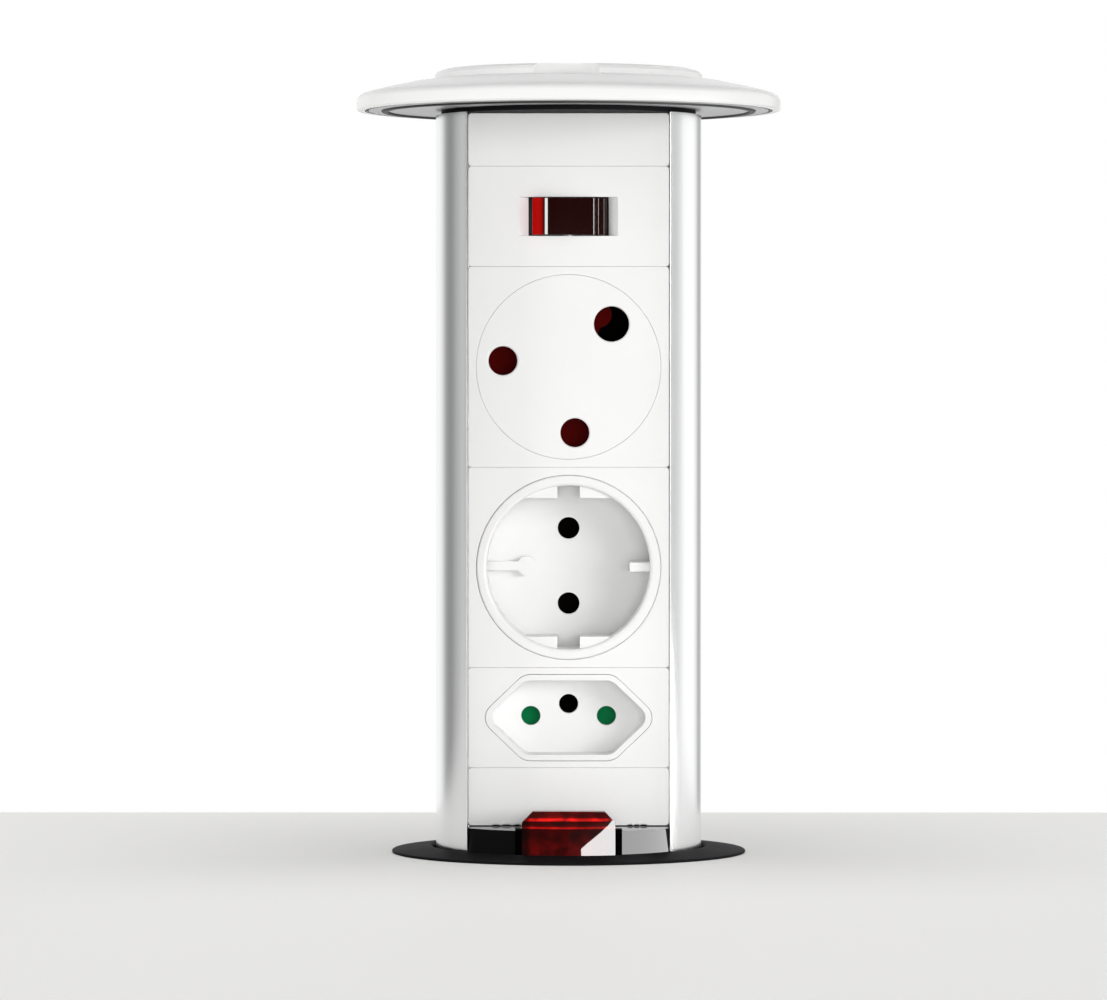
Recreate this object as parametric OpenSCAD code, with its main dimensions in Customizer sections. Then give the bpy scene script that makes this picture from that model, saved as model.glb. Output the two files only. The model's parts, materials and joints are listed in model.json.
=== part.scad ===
// Pop up desk socket, drawn raised as in the photograph, in millimetres.
// X is right, Y is to the back, Z is up. The origin is on the desk top, on the tower's axis.

/* [Desk fitting] */
// radius of the collar that goes through the desk hole
collar_r = 39.5; // [38.5:0.1:41]
// thickness of the collar round the tower
collar_wall = 5.2; // [4.8:0.1:6]
// gap between the collar's bore and the tower
bore_clear = 0.9; // [0.7:0.1:1.2]
// depth of the collar below the desk top
collar_depth = 50; // [46:1:60]
// reach of the flange on the desk beyond the collar
flange_reach = 5; // [4:0.5:8]
// thickness of the flange at its outer edge
flange_edge = 0.7; // [0.5:0.1:1.2]
// height of the flange at the hole
flange_crest = 1.8; // [1.4:0.1:2.6]
// length of the plain stretch above the thread
plain_len = 20; // [16:1:22]
// thickness of desk that the nut is drawn for
desk_t = 25; // [24:1:28]

/* [Tower] */
// wall of the tower profile
wall = 2.2; // [1.8:0.1:2.6]
// distance of the insert faces behind the tower's front
face_set = 19.4; // [18.5:0.1:20.4]
// width of the insert plates
insert_w = 50; // [49:0.25:50.5]
// thickness of the insert plates
plate_t = 2.5; // [2.2:0.1:2.8]
// height of the lowest insert edge above the desk
insert_z0 = 7.6; // [7:0.2:10]

/* [Insert heights] */
// lower blank plate
low_blank_h = 14.4; // [12:0.2:18]
// hexagonal socket
hex_h = 25; // [24.5:0.5:28]
// round-well socket
well_h = 50; // [49.5:0.5:54]
// three-pin socket
three_h = 50; // [49.5:0.5:54]
// breaker
breaker_h = 25; // [24.5:0.5:28]
// upper blank plate
top_blank_h = 13.2; // [12:0.2:20]

/* [Breaker] */
// length of the rocker
rocker_len = 18.6; // [17:0.2:19]
// height of the rocker
rocker_h = 9.2; // [8.4:0.1:9.3]
// tilt of the rocker as drawn, right end in
rocker_tilt = 6; // [4:0.5:7]

/* [Three-pin socket] */
// margin of the round insert inside the plate's edge
three_margin = 2; // [1.8:0.1:2.4]
// distance of the earth hole inside the insert's edge
earth_in = 7.85; // [7.5:0.05:8.2]
// distance of the line of the two line holes inside the insert's edge
line_in = 12.5; // [12.2:0.1:12.8]
// distance of each line hole, along that line, inside the insert's radius
line_side = 10.3; // [10.1:0.1:10.5]
// radius of the earth hole
earth_hole_r = 4.4; // [4.2:0.05:4.5]
// radius of the line holes
line_hole_r = 3.6; // [3.4:0.05:3.65]

/* [Round-well socket] */
// margin of the joint line round the well inside the plate's edge
rim_margin = 2; // [1.6:0.1:2.4]
// width of the flat rim round the well
rim_w = 2.6; // [2.2:0.1:3]
// depth of the well
well_depth = 17.5; // [17:0.1:18]
// distance between the two pin holes
well_gap = 19; // [18.8:0.1:19.4]
// radius of the pin holes
well_hole_r = 2.7; // [2.5:0.05:2.8]
// height of the key blocks' flats inside the well's wall
key_rise = 3.1; // [2.6:0.1:3.4]

/* [Hexagonal socket] */
// width of the recess, tip to tip
hex_w = 38.3; // [37:0.1:39]
// height of the recess
hex_t = 18.5; // [17.8:0.1:18.8]
// depth of the recess
hex_depth = 10; // [9:0.5:11]
// distance between the two line holes
hex_gap = 19; // [18.8:0.1:19.4]
// radius of the pin holes
hex_hole_r = 2.4; // [2.3:0.05:2.5]

/* [Lid] */
// reach of the lid beyond the flange
lid_overhang = 8.8; // [8:0.1:11]
// height of the dome at the raised disc
dome_h = 7.7; // [7.4:0.1:8.2]
// distance of the raised disc's edge inside the lid's edge
disc_inset = 19.5; // [18:0.1:21]
// height of the raised disc's edge above the dome
disc_h = 2.5; // [2.2:0.1:2.8]
// width of the finger notch in the raised disc
notch_w = 18; // [15:0.5:20]

/* [Release latch] */
// width of the latch
latch_w = 23.7; // [22.5:0.1:24]
// width of the opening that the latch sits in
latch_gap_w = 26.4; // [26:0.1:27]
// height of the top of the latch above the desk
latch_top = 12.3; // [11.5:0.1:13]
// distance that the latch stands out ahead of the tower
latch_stand = 2.2; // [1.8:0.1:2.4]

/* [Cable gland] */
// radius of the cable hole
cable_r = 4.5; // [4:0.1:5]
// reach of the gland below the bottom cap
gland_len = 21; // [18:1:26]

/* [Hidden] */
$fn = 96;
e = 0.01;
run = 0.3;
bore_r = collar_r - collar_wall;
tower_r = bore_r - bore_clear;
flange_r = collar_r + flange_reach;
lid_r = flange_r + lid_overhang;
disc_r = lid_r - disc_inset;
latch_r = tower_r + latch_stand;
face_y = tower_r - face_set;
three_r = min(insert_w, three_h) / 2 - three_margin;
earth_off = three_r - earth_in;
line_off = three_r - line_in;
line_gap = 2 * (three_r - line_side);
rim_r = min(insert_w, well_h) / 2 - rim_margin;
well_r = rim_r - rim_w;
key_flat = well_r - key_rise;
hex_z0 = insert_z0 + low_blank_h;
well_z0 = hex_z0 + hex_h;
three_z0 = well_z0 + well_h;
breaker_z0 = three_z0 + three_h;
top_z0 = breaker_z0 + breaker_h;
tower_top = top_z0 + top_blank_h;
hex_z = hex_z0 + hex_h / 2;
well_z = well_z0 + well_h / 2;
three_z = three_z0 + three_h / 2;
breaker_z = breaker_z0 + breaker_h / 2;
seam = 0.08;
plate_back = -face_y + plate_t;
tongue = 1.1;
channel_x = insert_w / 2 + 0.2;
cavity_x = insert_w / 2 - 0.4;
cavity_r = tower_r - wall;
tower_bottom = -collar_depth - run;
neck_r = tower_r - 1.4;
neck_h = 1.2;
lid_z = tower_top + neck_h;
lid_plate_r = lid_r - 2.6;
lid_plate_t = 2;
seal_r0 = lid_r - 8;
seal_r1 = lid_r - 6.3;
block_top = insert_z0 - 0.15;
thread_r = collar_r - 0.7;
washer_t = 2.5;
washer_r = collar_r + 9.5;
nut_h = 12;
nut_r = collar_r + 5.5;
lug_reach = 4.5;
housing_back = 21;
bus_x = [-9, 0, 9];
bus_w = 7;
bus_t = 1;
strap_y = housing_back - 3.5;
port_x = (cavity_x + tower_r) / 2 + 0.4;
port_back = (tower_r - 4) * [sin(26.2), cos(26.2)];
port = [[port_x, 0], [-port_x, 0], port_back, [-port_back[0], port_back[1]]];
port_r = 1.65;
rocker_y = plate_back + 3;
pivot_y = 6.4 - tower_r;
pivot_z = -30;
pin_r = 1.5;
pin_half = 16.5;
latch_back = tower_r - 5.9;
pocket_back = tower_r - 12.4;
catch_z = -8;
gland_y = 8;
lock_screw = [18, plate_back - 5.5];
block_w = 28;
block_d = 14;
block_h = 16;
block_z = -40;
cap_t = 4;

// a point at a polar angle, for the three-pin pattern whose axis leans by 45 degrees
function turned(u, v) = [(u - v) * cos(45), (u + v) * sin(45)];
three_earth = turned(earth_off, 0);
three_live = turned(-line_off, line_gap / 2);
three_neutral = turned(-line_off, -line_gap / 2);
function angle_of(p) = atan2(p[1], p[0]);
function reach_of(p) = norm(p);

// an outline with its corners rounded, each as an arc of steps
function unit(v) = v / norm(v);
function corner_arc(a, b, c, r, steps) =
    let (u = unit(a - b), w = unit(c - b),
         half = acos(u * w) / 2,
         mid = b + unit(u + w) * r / sin(half),
         from = b + u * r / tan(half) - mid,
         to = b + w * r / tan(half) - mid,
         start = atan2(from[1], from[0]),
         raw = atan2(to[1], to[0]) - start,
         sweep = raw > 180 ? raw - 360 : (raw < -180 ? raw + 360 : raw))
    [for (i = [0:steps]) mid + r * [cos(start + sweep * i / steps), sin(start + sweep * i / steps)]];
function rounded(points, r, steps = 5) =
    let (n = len(points))
    [for (i = [0:n - 1])
        each corner_arc(points[(i + n - 1) % n], points[i], points[(i + 1) % n], r, steps)];
function hex_outline(w, t, r) =
    let (tip = w / 2 + 0.45 * r, flat = tip - t / 2 * 1.05)
    rounded([[tip, 0], [flat, t / 2], [-flat, t / 2], [-tip, 0], [-flat, -t / 2], [flat, -t / 2]], r);

// a rectangle with round corners, exact
module round_rect(w, h, r) {
    square([w, h - 2 * r], center = true);
    square([w - 2 * r, h], center = true);
    for (sx = [-1, 1], sz = [-1, 1])
        translate([sx * (w / 2 - r), sz * (h / 2 - r)])
            circle(r, $fn = 24);
}

// a shape drawn in X and Z, standing from y0 back to y1
module standing(y0, y1) {
    translate([0, y1, 0])
        rotate([90, 0, 0])
            linear_extrude(y1 - y0)
                children();
}

// an insert plate with a tongue on each side for the profile's grooves
module insert_plate(z0, h) {
    clear_h = h - 2 * seam;
    translate([0, 0, z0 + h / 2]) {
        standing(-face_y, plate_back)
            round_rect(insert_w, clear_h, 0.8);
        translate([-insert_w / 2 - tongue, -face_y + 1.1, -clear_h / 2])
            cube([insert_w + 2 * tongue, 1.2, clear_h]);
    }
}

// a contact sleeve at x, z with a slit, a tail and a strap to one bus bar
module contact(x, z, r, y0, y1, bar, dz = 0) {
    out_r = r + 0.8;
    reach = abs(bar - x);
    difference() {
        translate([x, y1, z])
            rotate([90, 0, 0])
                cylinder(r = out_r, h = y1 - y0);
        translate([x, y1 - 1.5, z])
            rotate([90, 0, 0])
                cylinder(r = r, h = y1 - y0);
        translate([x - 0.6, y0 - 1, z - out_r - 1])
            cube([1.2, (y1 - y0) * 0.6, out_r * 2 + 2]);
    }
    translate([x - 1.5, y1 - e, z + dz - 1])
        cube([3, strap_y + 1.5 - y1 + e, 2]);
    translate([min(x, bar) - 1.5, strap_y, z + dz - 1])
        cube([reach + 3, 1.5, 2]);
    translate([bar - 1.5, strap_y, z + dz - 1])
        cube([3, housing_back - strap_y, 2]);
}

// the rear housing of a socket: a box open to the front, with a carrier for its contacts
module housing(z, w, h, y0, carrier_y) {
    difference() {
        intersection() {
            translate([-w / 2, y0, z - h / 2])
                cube([w, housing_back - y0, h]);
            translate([0, 0, z - h])
                cylinder(r = cavity_r - 0.2, h = 2 * h);
        }
        intersection() {
            translate([-w / 2 + 1.6, y0 - 1, z - h / 2 + 1.6])
                cube([w - 3.2, carrier_y - y0 + 1, h - 3.2]);
            translate([0, 0, z - h])
                cylinder(r = cavity_r - 1.8, h = 2 * h);
        }
        intersection() {
            translate([-w / 2 + 1.6, carrier_y + 2, z - h / 2 + 1.6])
                cube([w - 3.2, housing_back - 1.6 - carrier_y - 2, h - 3.2]);
            translate([0, 0, z - h])
                cylinder(r = cavity_r - 1.8, h = 2 * h);
        }
        for (x = bus_x)
            translate([x - 2.5, housing_back - 2, z - h / 2 + 1.6])
                cube([5, 3, h - 3.2]);
        children();
    }
}

// a hole for a contact sleeve through the carrier
module carrier_hole(x, z, r, y) {
    translate([x, y + 3, z])
        rotate([90, 0, 0])
            cylinder(r = r + 0.85, h = 4);
}

// a small countersunk screw, head up
module screw(head_r, shank_r, length) {
    cylinder(r1 = shank_r, r2 = head_r, h = 1.2);
    translate([0, 0, -length])
        cylinder(r = shank_r, h = length + e);
}

// desk collar: flange on the desk and sleeve through it
module desk_collar() {
    color("#1c1c1e")
        difference() {
            rotate_extrude()
                polygon([
                    [bore_r, -collar_depth], [thread_r - 0.8, -collar_depth],
                    [thread_r, -collar_depth + 0.8], [thread_r, -plain_len],
                    [collar_r, -plain_len], [collar_r, 0], [flange_r - 0.3, 0],
                    [flange_r, 0.25], [flange_r, flange_edge - 0.2], [flange_r - 0.3, flange_edge],
                    [bore_r + 2.2, flange_crest], [bore_r + 0.5, flange_crest], [bore_r, flange_crest - 0.5]]);
            intersection() {
                translate([0, 0, -collar_depth - 1])
                    cylinder(r = latch_r + 0.8, h = collar_depth + flange_crest + 2);
                translate([-latch_gap_w / 2, -collar_r, -collar_depth - 1])
                    cube([latch_gap_w, collar_r, collar_depth + flange_crest + 2]);
            }
            for (s = [-1, 1])
                intersection() {
                    translate([0, 0, catch_z - 3.5])
                        cylinder(r = bore_r + 2.4, h = 7);
                    translate([s * 16.2 - 2.4, -collar_r, catch_z - 3.5])
                        cube([4.8, collar_r, 7]);
                }
            for (a = pad_angles)
                rotate(a)
                    translate([bore_r - 1, -5.1, -collar_depth + 4])
                        cube([1.9, 10.2, collar_depth - 9]);
        }
    color("#1c1c1e")
        translate([-1.5, tower_r - 2.4, -collar_depth + 2])
            cube([3, bore_r - tower_r + 3.4, collar_depth - 6]);
}
pad_angles = [-25, 30, 75, 105, 150, 205];

// six low-friction strips let into the collar's bore
module guide_pads() {
    color("#d9d6cc")
        for (a = pad_angles)
            rotate(a)
                difference() {
                    translate([tower_r - 2, -5, -collar_depth + 4.1])
                        cube([bore_r + 0.85 - tower_r + 2, 10, collar_depth - 9.2]);
                    translate([0, 0, -collar_depth])
                        cylinder(r = tower_r + run, h = collar_depth + 2);
                }
}

// flat ring between the nut and the underside of the desk
module clamp_washer() {
    color("#b9bcc0")
        translate([0, 0, -desk_t - washer_t])
            difference() {
                cylinder(r = washer_r, h = washer_t);
                translate([0, 0, -1])
                    cylinder(r = collar_r + run, h = washer_t + 2);
            }
}

// ring nut with six lugs, on the collar's thread
module clamp_nut() {
    color("#242426")
        translate([0, 0, -desk_t - washer_t - nut_h])
            difference() {
                union() {
                    cylinder(r = nut_r, h = nut_h);
                    for (a = [0:60:300])
                        rotate(a)
                            translate([nut_r - 3, -5, 0])
                                cube([lug_reach + 3, 10, nut_h - 2]);
                }
                translate([0, 0, -1])
                    cylinder(r = thread_r + run, h = nut_h + 2);
            }
}

// round aluminium profile with a front channel for the inserts
module tower_profile() {
    color("#c4c6c8")
        translate([0, 0, tower_bottom])
            linear_extrude(tower_top - tower_bottom)
                difference() {
                    circle(tower_r);
                    difference() {
                        intersection() {
                            circle(cavity_r);
                            translate([-cavity_x, plate_back + 0.1])
                                square([2 * cavity_x, 2 * tower_r]);
                        }
                        for (i = [2, 3])
                            translate(port[i])
                                circle(3.2, $fn = 48);
                        translate([-4.5, tower_r - 5.2])
                            square([9, 6]);
                    }
                    translate([-channel_x, -tower_r - 1])
                        square([2 * channel_x, tower_r + 1.1 + plate_back]);
                    translate([-channel_x - tongue, -face_y + 0.9])
                        square([2 * channel_x + 2 * tongue, plate_t - 0.8]);
                    for (s = [-1, 1])
                        difference() {
                            intersection() {
                                circle(tower_r - 1.8);
                                translate([s * (channel_x + 4.4) - 2, -15])
                                    square([4, 30]);
                            }
                            translate([s * port_x - 4, -3])
                                square([8, 6]);
                        }
                    for (p = port)
                        translate(p)
                            circle(port_r, $fn = 32);
                    translate([-1.9, tower_r - 2.8])
                        square([3.8, 4]);
                }
}

// black neck disc between the tower and the lid
module top_cap() {
    color("#151516")
        translate([0, 0, tower_top])
            difference() {
                cylinder(r = neck_r, h = neck_h);
                for (p = port)
                    translate([p[0], p[1], -1])
                        cylinder(r = port_r + 0.1, h = neck_h + 2, $fn = 32);
                translate([-1.9, tower_r - 2.8, -1])
                    cube([3.8, 4, neck_h + 2]);
            }
}

// grey base plate of the lid
module lid_plate() {
    color("#a9abad")
        translate([0, 0, lid_z])
            difference() {
                cylinder(r = lid_plate_r, h = lid_plate_t);
                difference() {
                    translate([0, 0, -1])
                        cylinder(r = seal_r1 + 0.1, h = 2);
                    translate([0, 0, -2])
                        cylinder(r = seal_r0 - 0.1, h = 4);
                }
                for (p = port)
                    translate([p[0], p[1], 0]) {
                        translate([0, 0, -1])
                            cylinder(r = port_r + 0.1, h = lid_plate_t + 2, $fn = 32);
                        translate([0, 0, lid_plate_t - 1.25])
                            cylinder(r1 = port_r + 0.1, r2 = 3.1, h = 1.3, $fn = 32);
                    }
            }
}

// rubber ring let into the underside of the lid plate
module lid_seal() {
    color("#0e0e0f")
        translate([0, 0, lid_z - 0.8])
            rotate_extrude()
                polygon([
                    [seal_r0, 1.8], [seal_r0, 0.3], [seal_r0 + 0.3, 0],
                    [seal_r1 - 0.3, 0], [seal_r1, 0.3], [seal_r1, 1.8]]);
}

// four screws that hold the lid plate and the neck to the profile
module lid_screws() {
    color("#9a9da1")
        for (p = port)
            translate([p[0], p[1], lid_z + lid_plate_t - 1.2])
                screw(3, port_r - 0.05, 12, $fn = 32);
}

// domed white lid with a raised disc and a finger notch
module lid_shell() {
    inner = 2;
    notch_sunk = 0.6;
    color("#f0f0ee")
        translate([0, 0, lid_z])
            difference() {
                rotate_extrude()
                    polygon([
                        [lid_r - 2, 0], [lid_r - 0.4, 0], [lid_r, 0.4], [lid_r, 2.5], [lid_r - 0.2, 3.1],
                        [lid_r - 0.7, 3.7], [lid_r - 1.6, 4.25], [lid_r - 4, 4.9], [lid_r - 7.5, 5.75],
                        [lid_r - 11.2, 6.5], [(lid_r + disc_r) / 2 - 4, 7.05], [disc_r + 0.5, dome_h],
                        [disc_r, dome_h], [disc_r - 0.2, dome_h + disc_h - 1.2],
                        [disc_r - 0.7, dome_h + disc_h - 0.55], [disc_r - 2.2, dome_h + disc_h],
                        [disc_r * 0.7, dome_h + disc_h + 0.4], [disc_r * 0.35, dome_h + disc_h + 0.6],
                        [0, dome_h + disc_h + 0.7], [0, dome_h - inner + 0.4], [disc_r, dome_h - inner],
                        [lid_r - 7.5, 5.75 - inner], [lid_r - 5, lid_plate_t + 1], [lid_r - 5, lid_plate_t + e],
                        [lid_r - 2, lid_plate_t + e]]);
                translate([-0.5, -disc_r - notch_w * 0.12, dome_h - notch_sunk])
                    cylinder(r1 = notch_w / 2 - 0.5, r2 = notch_w / 2, h = 5);
            }
}

// blank plate under the lid
module top_blank() {
    color("#f2f2f0")
        insert_plate(top_z0, top_blank_h);
}

// breaker plate with a window whose ends slope in to the rocker
module breaker_plate() {
    w = rocker_len / 2 + 0.7;
    color("#f2f2f0")
        difference() {
            insert_plate(breaker_z0, breaker_h);
            translate([0, 0, breaker_z - rocker_h / 2 - 0.25])
                linear_extrude(rocker_h + 0.5)
                    polygon([
                        [-w - 2.3, -face_y - e], [w + 2.3, -face_y - e],
                        [w, plate_back - 0.2], [w, plate_back + 1], [-w, plate_back + 1], [-w, plate_back - 0.2]]);
        }
}

// sealed body of the breaker, with a pocket for the rocker
module breaker_body() {
    color("#3a3b3d")
        difference() {
            intersection() {
                translate([-19, plate_back, breaker_z - 10.5])
                    cube([38, housing_back - plate_back, 21]);
                translate([0, 0, breaker_z - 20])
                    cylinder(r = cavity_r - 0.2, h = 40);
            }
            translate([-rocker_len / 2 - 1, plate_back - 1, breaker_z - rocker_h / 2 - 0.4])
                cube([rocker_len + 2, 9, rocker_h + 0.8]);
            translate([0, rocker_y, breaker_z - 8])
                cylinder(r = 1.25, h = 16, $fn = 32);
            for (x = [bus_x[0], bus_x[1]])
                translate([x - 1.6, housing_back - 4, breaker_z - 4])
                    cube([3.2, 5, 8]);
        }
}

// two blades from the breaker to the live and neutral bars
module breaker_blades() {
    color("#b98a3c")
        for (x = [bus_x[0], bus_x[1]])
            translate([x - 1.5, housing_back - 4, breaker_z - 3.5])
                cube([3, 4, 7]);
}

// pin that the rocker tilts on
module rocker_pin() {
    color("#9a9da1")
        translate([0, rocker_y, breaker_z - 7.9])
            cylinder(r = 1.2, h = 15.8, $fn = 32);
}

// dark red rocker, drawn with its right end in
module breaker_rocker() {
    half = rocker_len / 2;
    front = -face_y - 1.5 - rocker_y;
    color("#4a0c10")
        translate([0, rocker_y, breaker_z - rocker_h / 2])
            rotate(rocker_tilt)
                linear_extrude(rocker_h)
                    difference() {
                        union() {
                            polygon([
                                [-half + 0.7, 1], [-half + 0.2, front + 1.6], [-half + 0.3, front + 0.8],
                                [-half + 1, front], [-half + 2.4, front + 0.1], [-half * 0.4, front + 0.85],
                                [0, front + 1], [half * 0.4, front + 0.85], [half - 2.4, front + 0.1],
                                [half - 1, front], [half - 0.3, front + 0.8], [half - 0.2, front + 1.6],
                                [half - 0.7, 1]]);
                            circle(2.8, $fn = 48);
                        }
                        circle(1.5, $fn = 32);
                    }
}

// square plate of the three-pin socket
module three_pin_plate() {
    color("#f2f2f0")
        difference() {
            insert_plate(three_z0, three_h);
            translate([0, 0, three_z])
                standing(-face_y - 1, plate_back + 1)
                    circle(three_r + 0.1);
        }
}

// round insert with the three holes and the shutter's post
module three_pin_disc() {
    color("#f4f4f2")
        translate([0, 0, three_z]) {
            difference() {
                union() {
                    standing(-face_y, plate_back + 1)
                        circle(three_r);
                    standing(plate_back, plate_back + 2)
                        circle(three_r + 0.8);
                }
                standing(-face_y - 1, plate_back + 3) {
                    translate(three_earth)
                        circle(earth_hole_r, $fn = 48);
                    translate(three_live)
                        circle(line_hole_r, $fn = 48);
                    translate(three_neutral)
                        circle(line_hole_r, $fn = 48);
                }
            }
            standing(plate_back + 1, plate_back + 5.2)
                circle(1.5, $fn = 32);
        }
}

// red shutter that turns on the post: two lobes over the line holes, one lobe in the earth hole
module three_pin_shutter() {
    y0 = plate_back + 2 + run;
    color("#8e1218")
        translate([0, 0, three_z])
            standing(y0, y0 + 2.2)
                difference() {
                    union() {
                        circle(4.5, $fn = 48);
                        for (p = [three_live, three_neutral]) {
                            translate(p)
                                circle(line_hole_r + 0.8, $fn = 48);
                            rotate(angle_of(p))
                                translate([0, -2.5])
                                    square([reach_of(p), 5]);
                        }
                        rotate(45 + 15) {
                            translate([earth_off, 0])
                                circle(3.2, $fn = 48);
                            translate([0, -2])
                                square([earth_off, 4]);
                        }
                    }
                    circle(1.8, $fn = 32);
                }
}

// leaf that turns the shutter back
module three_pin_spring() {
    y0 = plate_back + 2 + run;
    color("#b8bcc2")
        translate([0, y0 + 0.3, three_z])
            rotate([0, -angle_of(three_live), 0])
                translate([5.5, 0, 2.55])
                    cube([7, 1.6, 0.4]);
    color("#b8bcc2")
        translate([0, y0 + 0.3, three_z])
            rotate([0, -angle_of(three_live), 0])
                translate([5.5, 0, 2.55])
                    cube([0.5, 3.2, 2.2]);
}

// rear housing of the three-pin socket
module three_pin_housing() {
    color("#e4e4e0")
        housing(three_z, insert_w - 4, three_h - 4, plate_back + 2, 3) {
            carrier_hole(three_live[0], three_z + three_live[1], line_hole_r + 0.15, 3);
            carrier_hole(three_neutral[0], three_z + three_neutral[1], line_hole_r + 0.15, 3);
            carrier_hole(three_earth[0], three_z + three_earth[1], earth_hole_r + 0.1, 3);
        }
    color("#e4e4e0")
        translate([0, 0, three_z])
            standing(plate_back + 5.2, 3 + e)
                circle(4, $fn = 48);
}

// brass sleeves of the three-pin socket
module three_pin_contacts() {
    y0 = plate_back + 5.2;
    color("#c39a4a") {
        contact(three_live[0], three_z + three_live[1], line_hole_r + 0.15, y0, 12, bus_x[0]);
        contact(three_neutral[0], three_z + three_neutral[1], line_hole_r + 0.15, y0, 12, bus_x[1]);
        contact(three_earth[0], three_z + three_earth[1], earth_hole_r + 0.1, y0, 12, bus_x[2]);
    }
}

// square plate of the round-well socket
module well_plate() {
    color("#f2f2f0")
        difference() {
            insert_plate(well_z0, well_h);
            translate([0, 0, well_z])
                standing(-face_y - 1, plate_back + 1)
                    circle(rim_r + 0.1);
        }
}

// round well with key blocks at the top and bottom and slots for the earth clips
module well_cup() {
    floor_y = -face_y + well_depth;
    color("#f4f4f2")
        translate([0, 0, well_z]) {
            difference() {
                union() {
                    standing(-face_y, plate_back)
                        circle(rim_r);
                    standing(plate_back - e, floor_y + 2.5)
                        circle(well_r + 1.4);
                }
                standing(-face_y - 1, floor_y)
                    circle(well_r);
                for (s = [-1, 1])
                    translate([0, 0, s * well_gap / 2])
                        standing(floor_y - 1, floor_y + 3)
                            circle(well_hole_r, $fn = 48);
                for (s = [-1, 1])
                    translate([s * (well_r + 1) - 2.2, -face_y + 5, -1.5])
                        cube([4.4, well_depth - 5 + 3, 3]);
            }
            standing(-face_y + 1, floor_y + e)
                difference() {
                    intersection() {
                        circle(well_r + 0.3);
                        for (s = [-1, 1])
                            translate([-well_r, s > 0 ? key_flat : -key_flat - 6])
                                square([2 * well_r, 6]);
                    }
                    square([5.6, 60], center = true);
                }
        }
}

// earth clips on the two sides of the well: they rise from the floor and are joined behind it
module side_earth_clips() {
    floor_y = -face_y + well_depth;
    strip = 2.35;
    back = floor_y + 2.8;
    clip_front = -face_y + 5.3;
    color("#c9a45a")
        translate([0, 0, well_z]) {
            for (s = [-1, 1])
                translate([s * (well_r - 0.2) - 0.4, clip_front, -strip / 2])
                    cube([0.8, back + 0.8 - clip_front, strip]);
            translate([-well_r - 0.2, back, -strip / 2])
                cube([2 * well_r + 0.4, 0.8, strip]);
            translate([-well_r, floor_y - 0.8, -strip / 2])
                cube([well_r - 10.6, 0.75, strip]);
            translate([15.4, floor_y - 0.8, -strip / 2])
                cube([well_r - 15.4, 0.75, strip]);
            translate([-10.6, 0, 0])
                standing(floor_y - 1.8, floor_y - 0.05)
                    circle(2.55, $fn = 40);
            translate([bus_x[2] - 1.5, back, -strip / 2])
                cube([3, housing_back - back, strip]);
        }
}

// rear housing of the round-well socket
module well_housing() {
    floor_y = -face_y + well_depth;
    color("#e4e4e0")
        housing(well_z, insert_w - 2.4, well_h - 2.8, plate_back, floor_y + 5) {
            carrier_hole(0, well_z + well_gap / 2, well_hole_r, floor_y + 5);
            carrier_hole(0, well_z - well_gap / 2, well_hole_r, floor_y + 5);
            translate([bus_x[2] - 2, floor_y, well_z - 1.8])
                cube([4, 20, 3.6]);
        }
}

// brass sleeves of the round-well socket
module well_contacts() {
    y0 = -face_y + well_depth + 4;
    color("#c39a4a") {
        contact(0, well_z + well_gap / 2, well_hole_r - 0.2, y0, 15, bus_x[0]);
        contact(0, well_z - well_gap / 2, well_hole_r - 0.2, y0, 15, bus_x[1]);
    }
}

// plate of the hexagonal socket
module hex_plate() {
    color("#f2f2f0")
        difference() {
            insert_plate(hex_z0, hex_h);
            translate([0, 0, hex_z])
                standing(-face_y - 1, plate_back + 1)
                    polygon(hex_outline(hex_w + 3.4, hex_t + 3.2, 4));
        }
}

// hexagonal recess with its three holes
module hex_cup() {
    floor_y = -face_y + hex_depth;
    color("#f4f4f2")
        translate([0, 0, hex_z])
            difference() {
                union() {
                    standing(-face_y, plate_back)
                        polygon(hex_outline(hex_w + 3.2, hex_t + 3, 4));
                    standing(plate_back - e, floor_y + 2.5)
                        polygon(hex_outline(hex_w + 2.2, hex_t + 2.2, 3.6));
                }
                standing(-face_y - 1, floor_y)
                    polygon(hex_outline(hex_w, hex_t, 3));
                standing(floor_y - 1, floor_y + 4) {
                    for (s = [-1, 1])
                        translate([s * hex_gap / 2, 0])
                            circle(hex_hole_r, $fn = 48);
                    translate([0, 3])
                        circle(hex_hole_r, $fn = 48);
                }
            }
}

// green shutter behind the hexagonal recess
module hex_shutter() {
    y0 = -face_y + hex_depth + 2.5 + run;
    color("#0e6a3a")
        translate([0, 0, hex_z])
            standing(y0, y0 + 1.6)
                difference() {
                    translate([-13, -3.2])
                        square([26, 6.4]);
                    translate([-3.6, -1.4])
                        square([7.2, 12]);
                }
}

// leaf under the hexagonal shutter that lifts it back
module hex_spring() {
    y0 = -face_y + hex_depth + 2.5 + run;
    color("#b8bcc2")
        for (s = [-1, 1])
            translate([s * 7, 0, hex_z])
                standing(y0 + 0.2, y0 + 1.4)
                    polygon([[-4, -10.5], [4, -10.5], [4, -10.1], [-3, -10.1], [4, -3.9], [4, -3.3],
                             [-3.5, -3.3], [-3.5, -3.7], [2.9, -3.7], [-4, -9.9]]);
}

// rear housing of the hexagonal socket
module hex_housing() {
    floor_y = -face_y + hex_depth;
    color("#e4e4e0")
        housing(hex_z, hex_w + 5.5, hex_h - 0.6, plate_back, floor_y + 5) {
            carrier_hole(-hex_gap / 2, hex_z, hex_hole_r, floor_y + 5);
            carrier_hole(hex_gap / 2, hex_z, hex_hole_r, floor_y + 5);
            carrier_hole(0, hex_z + 3, hex_hole_r, floor_y + 5);
        }
}

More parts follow.
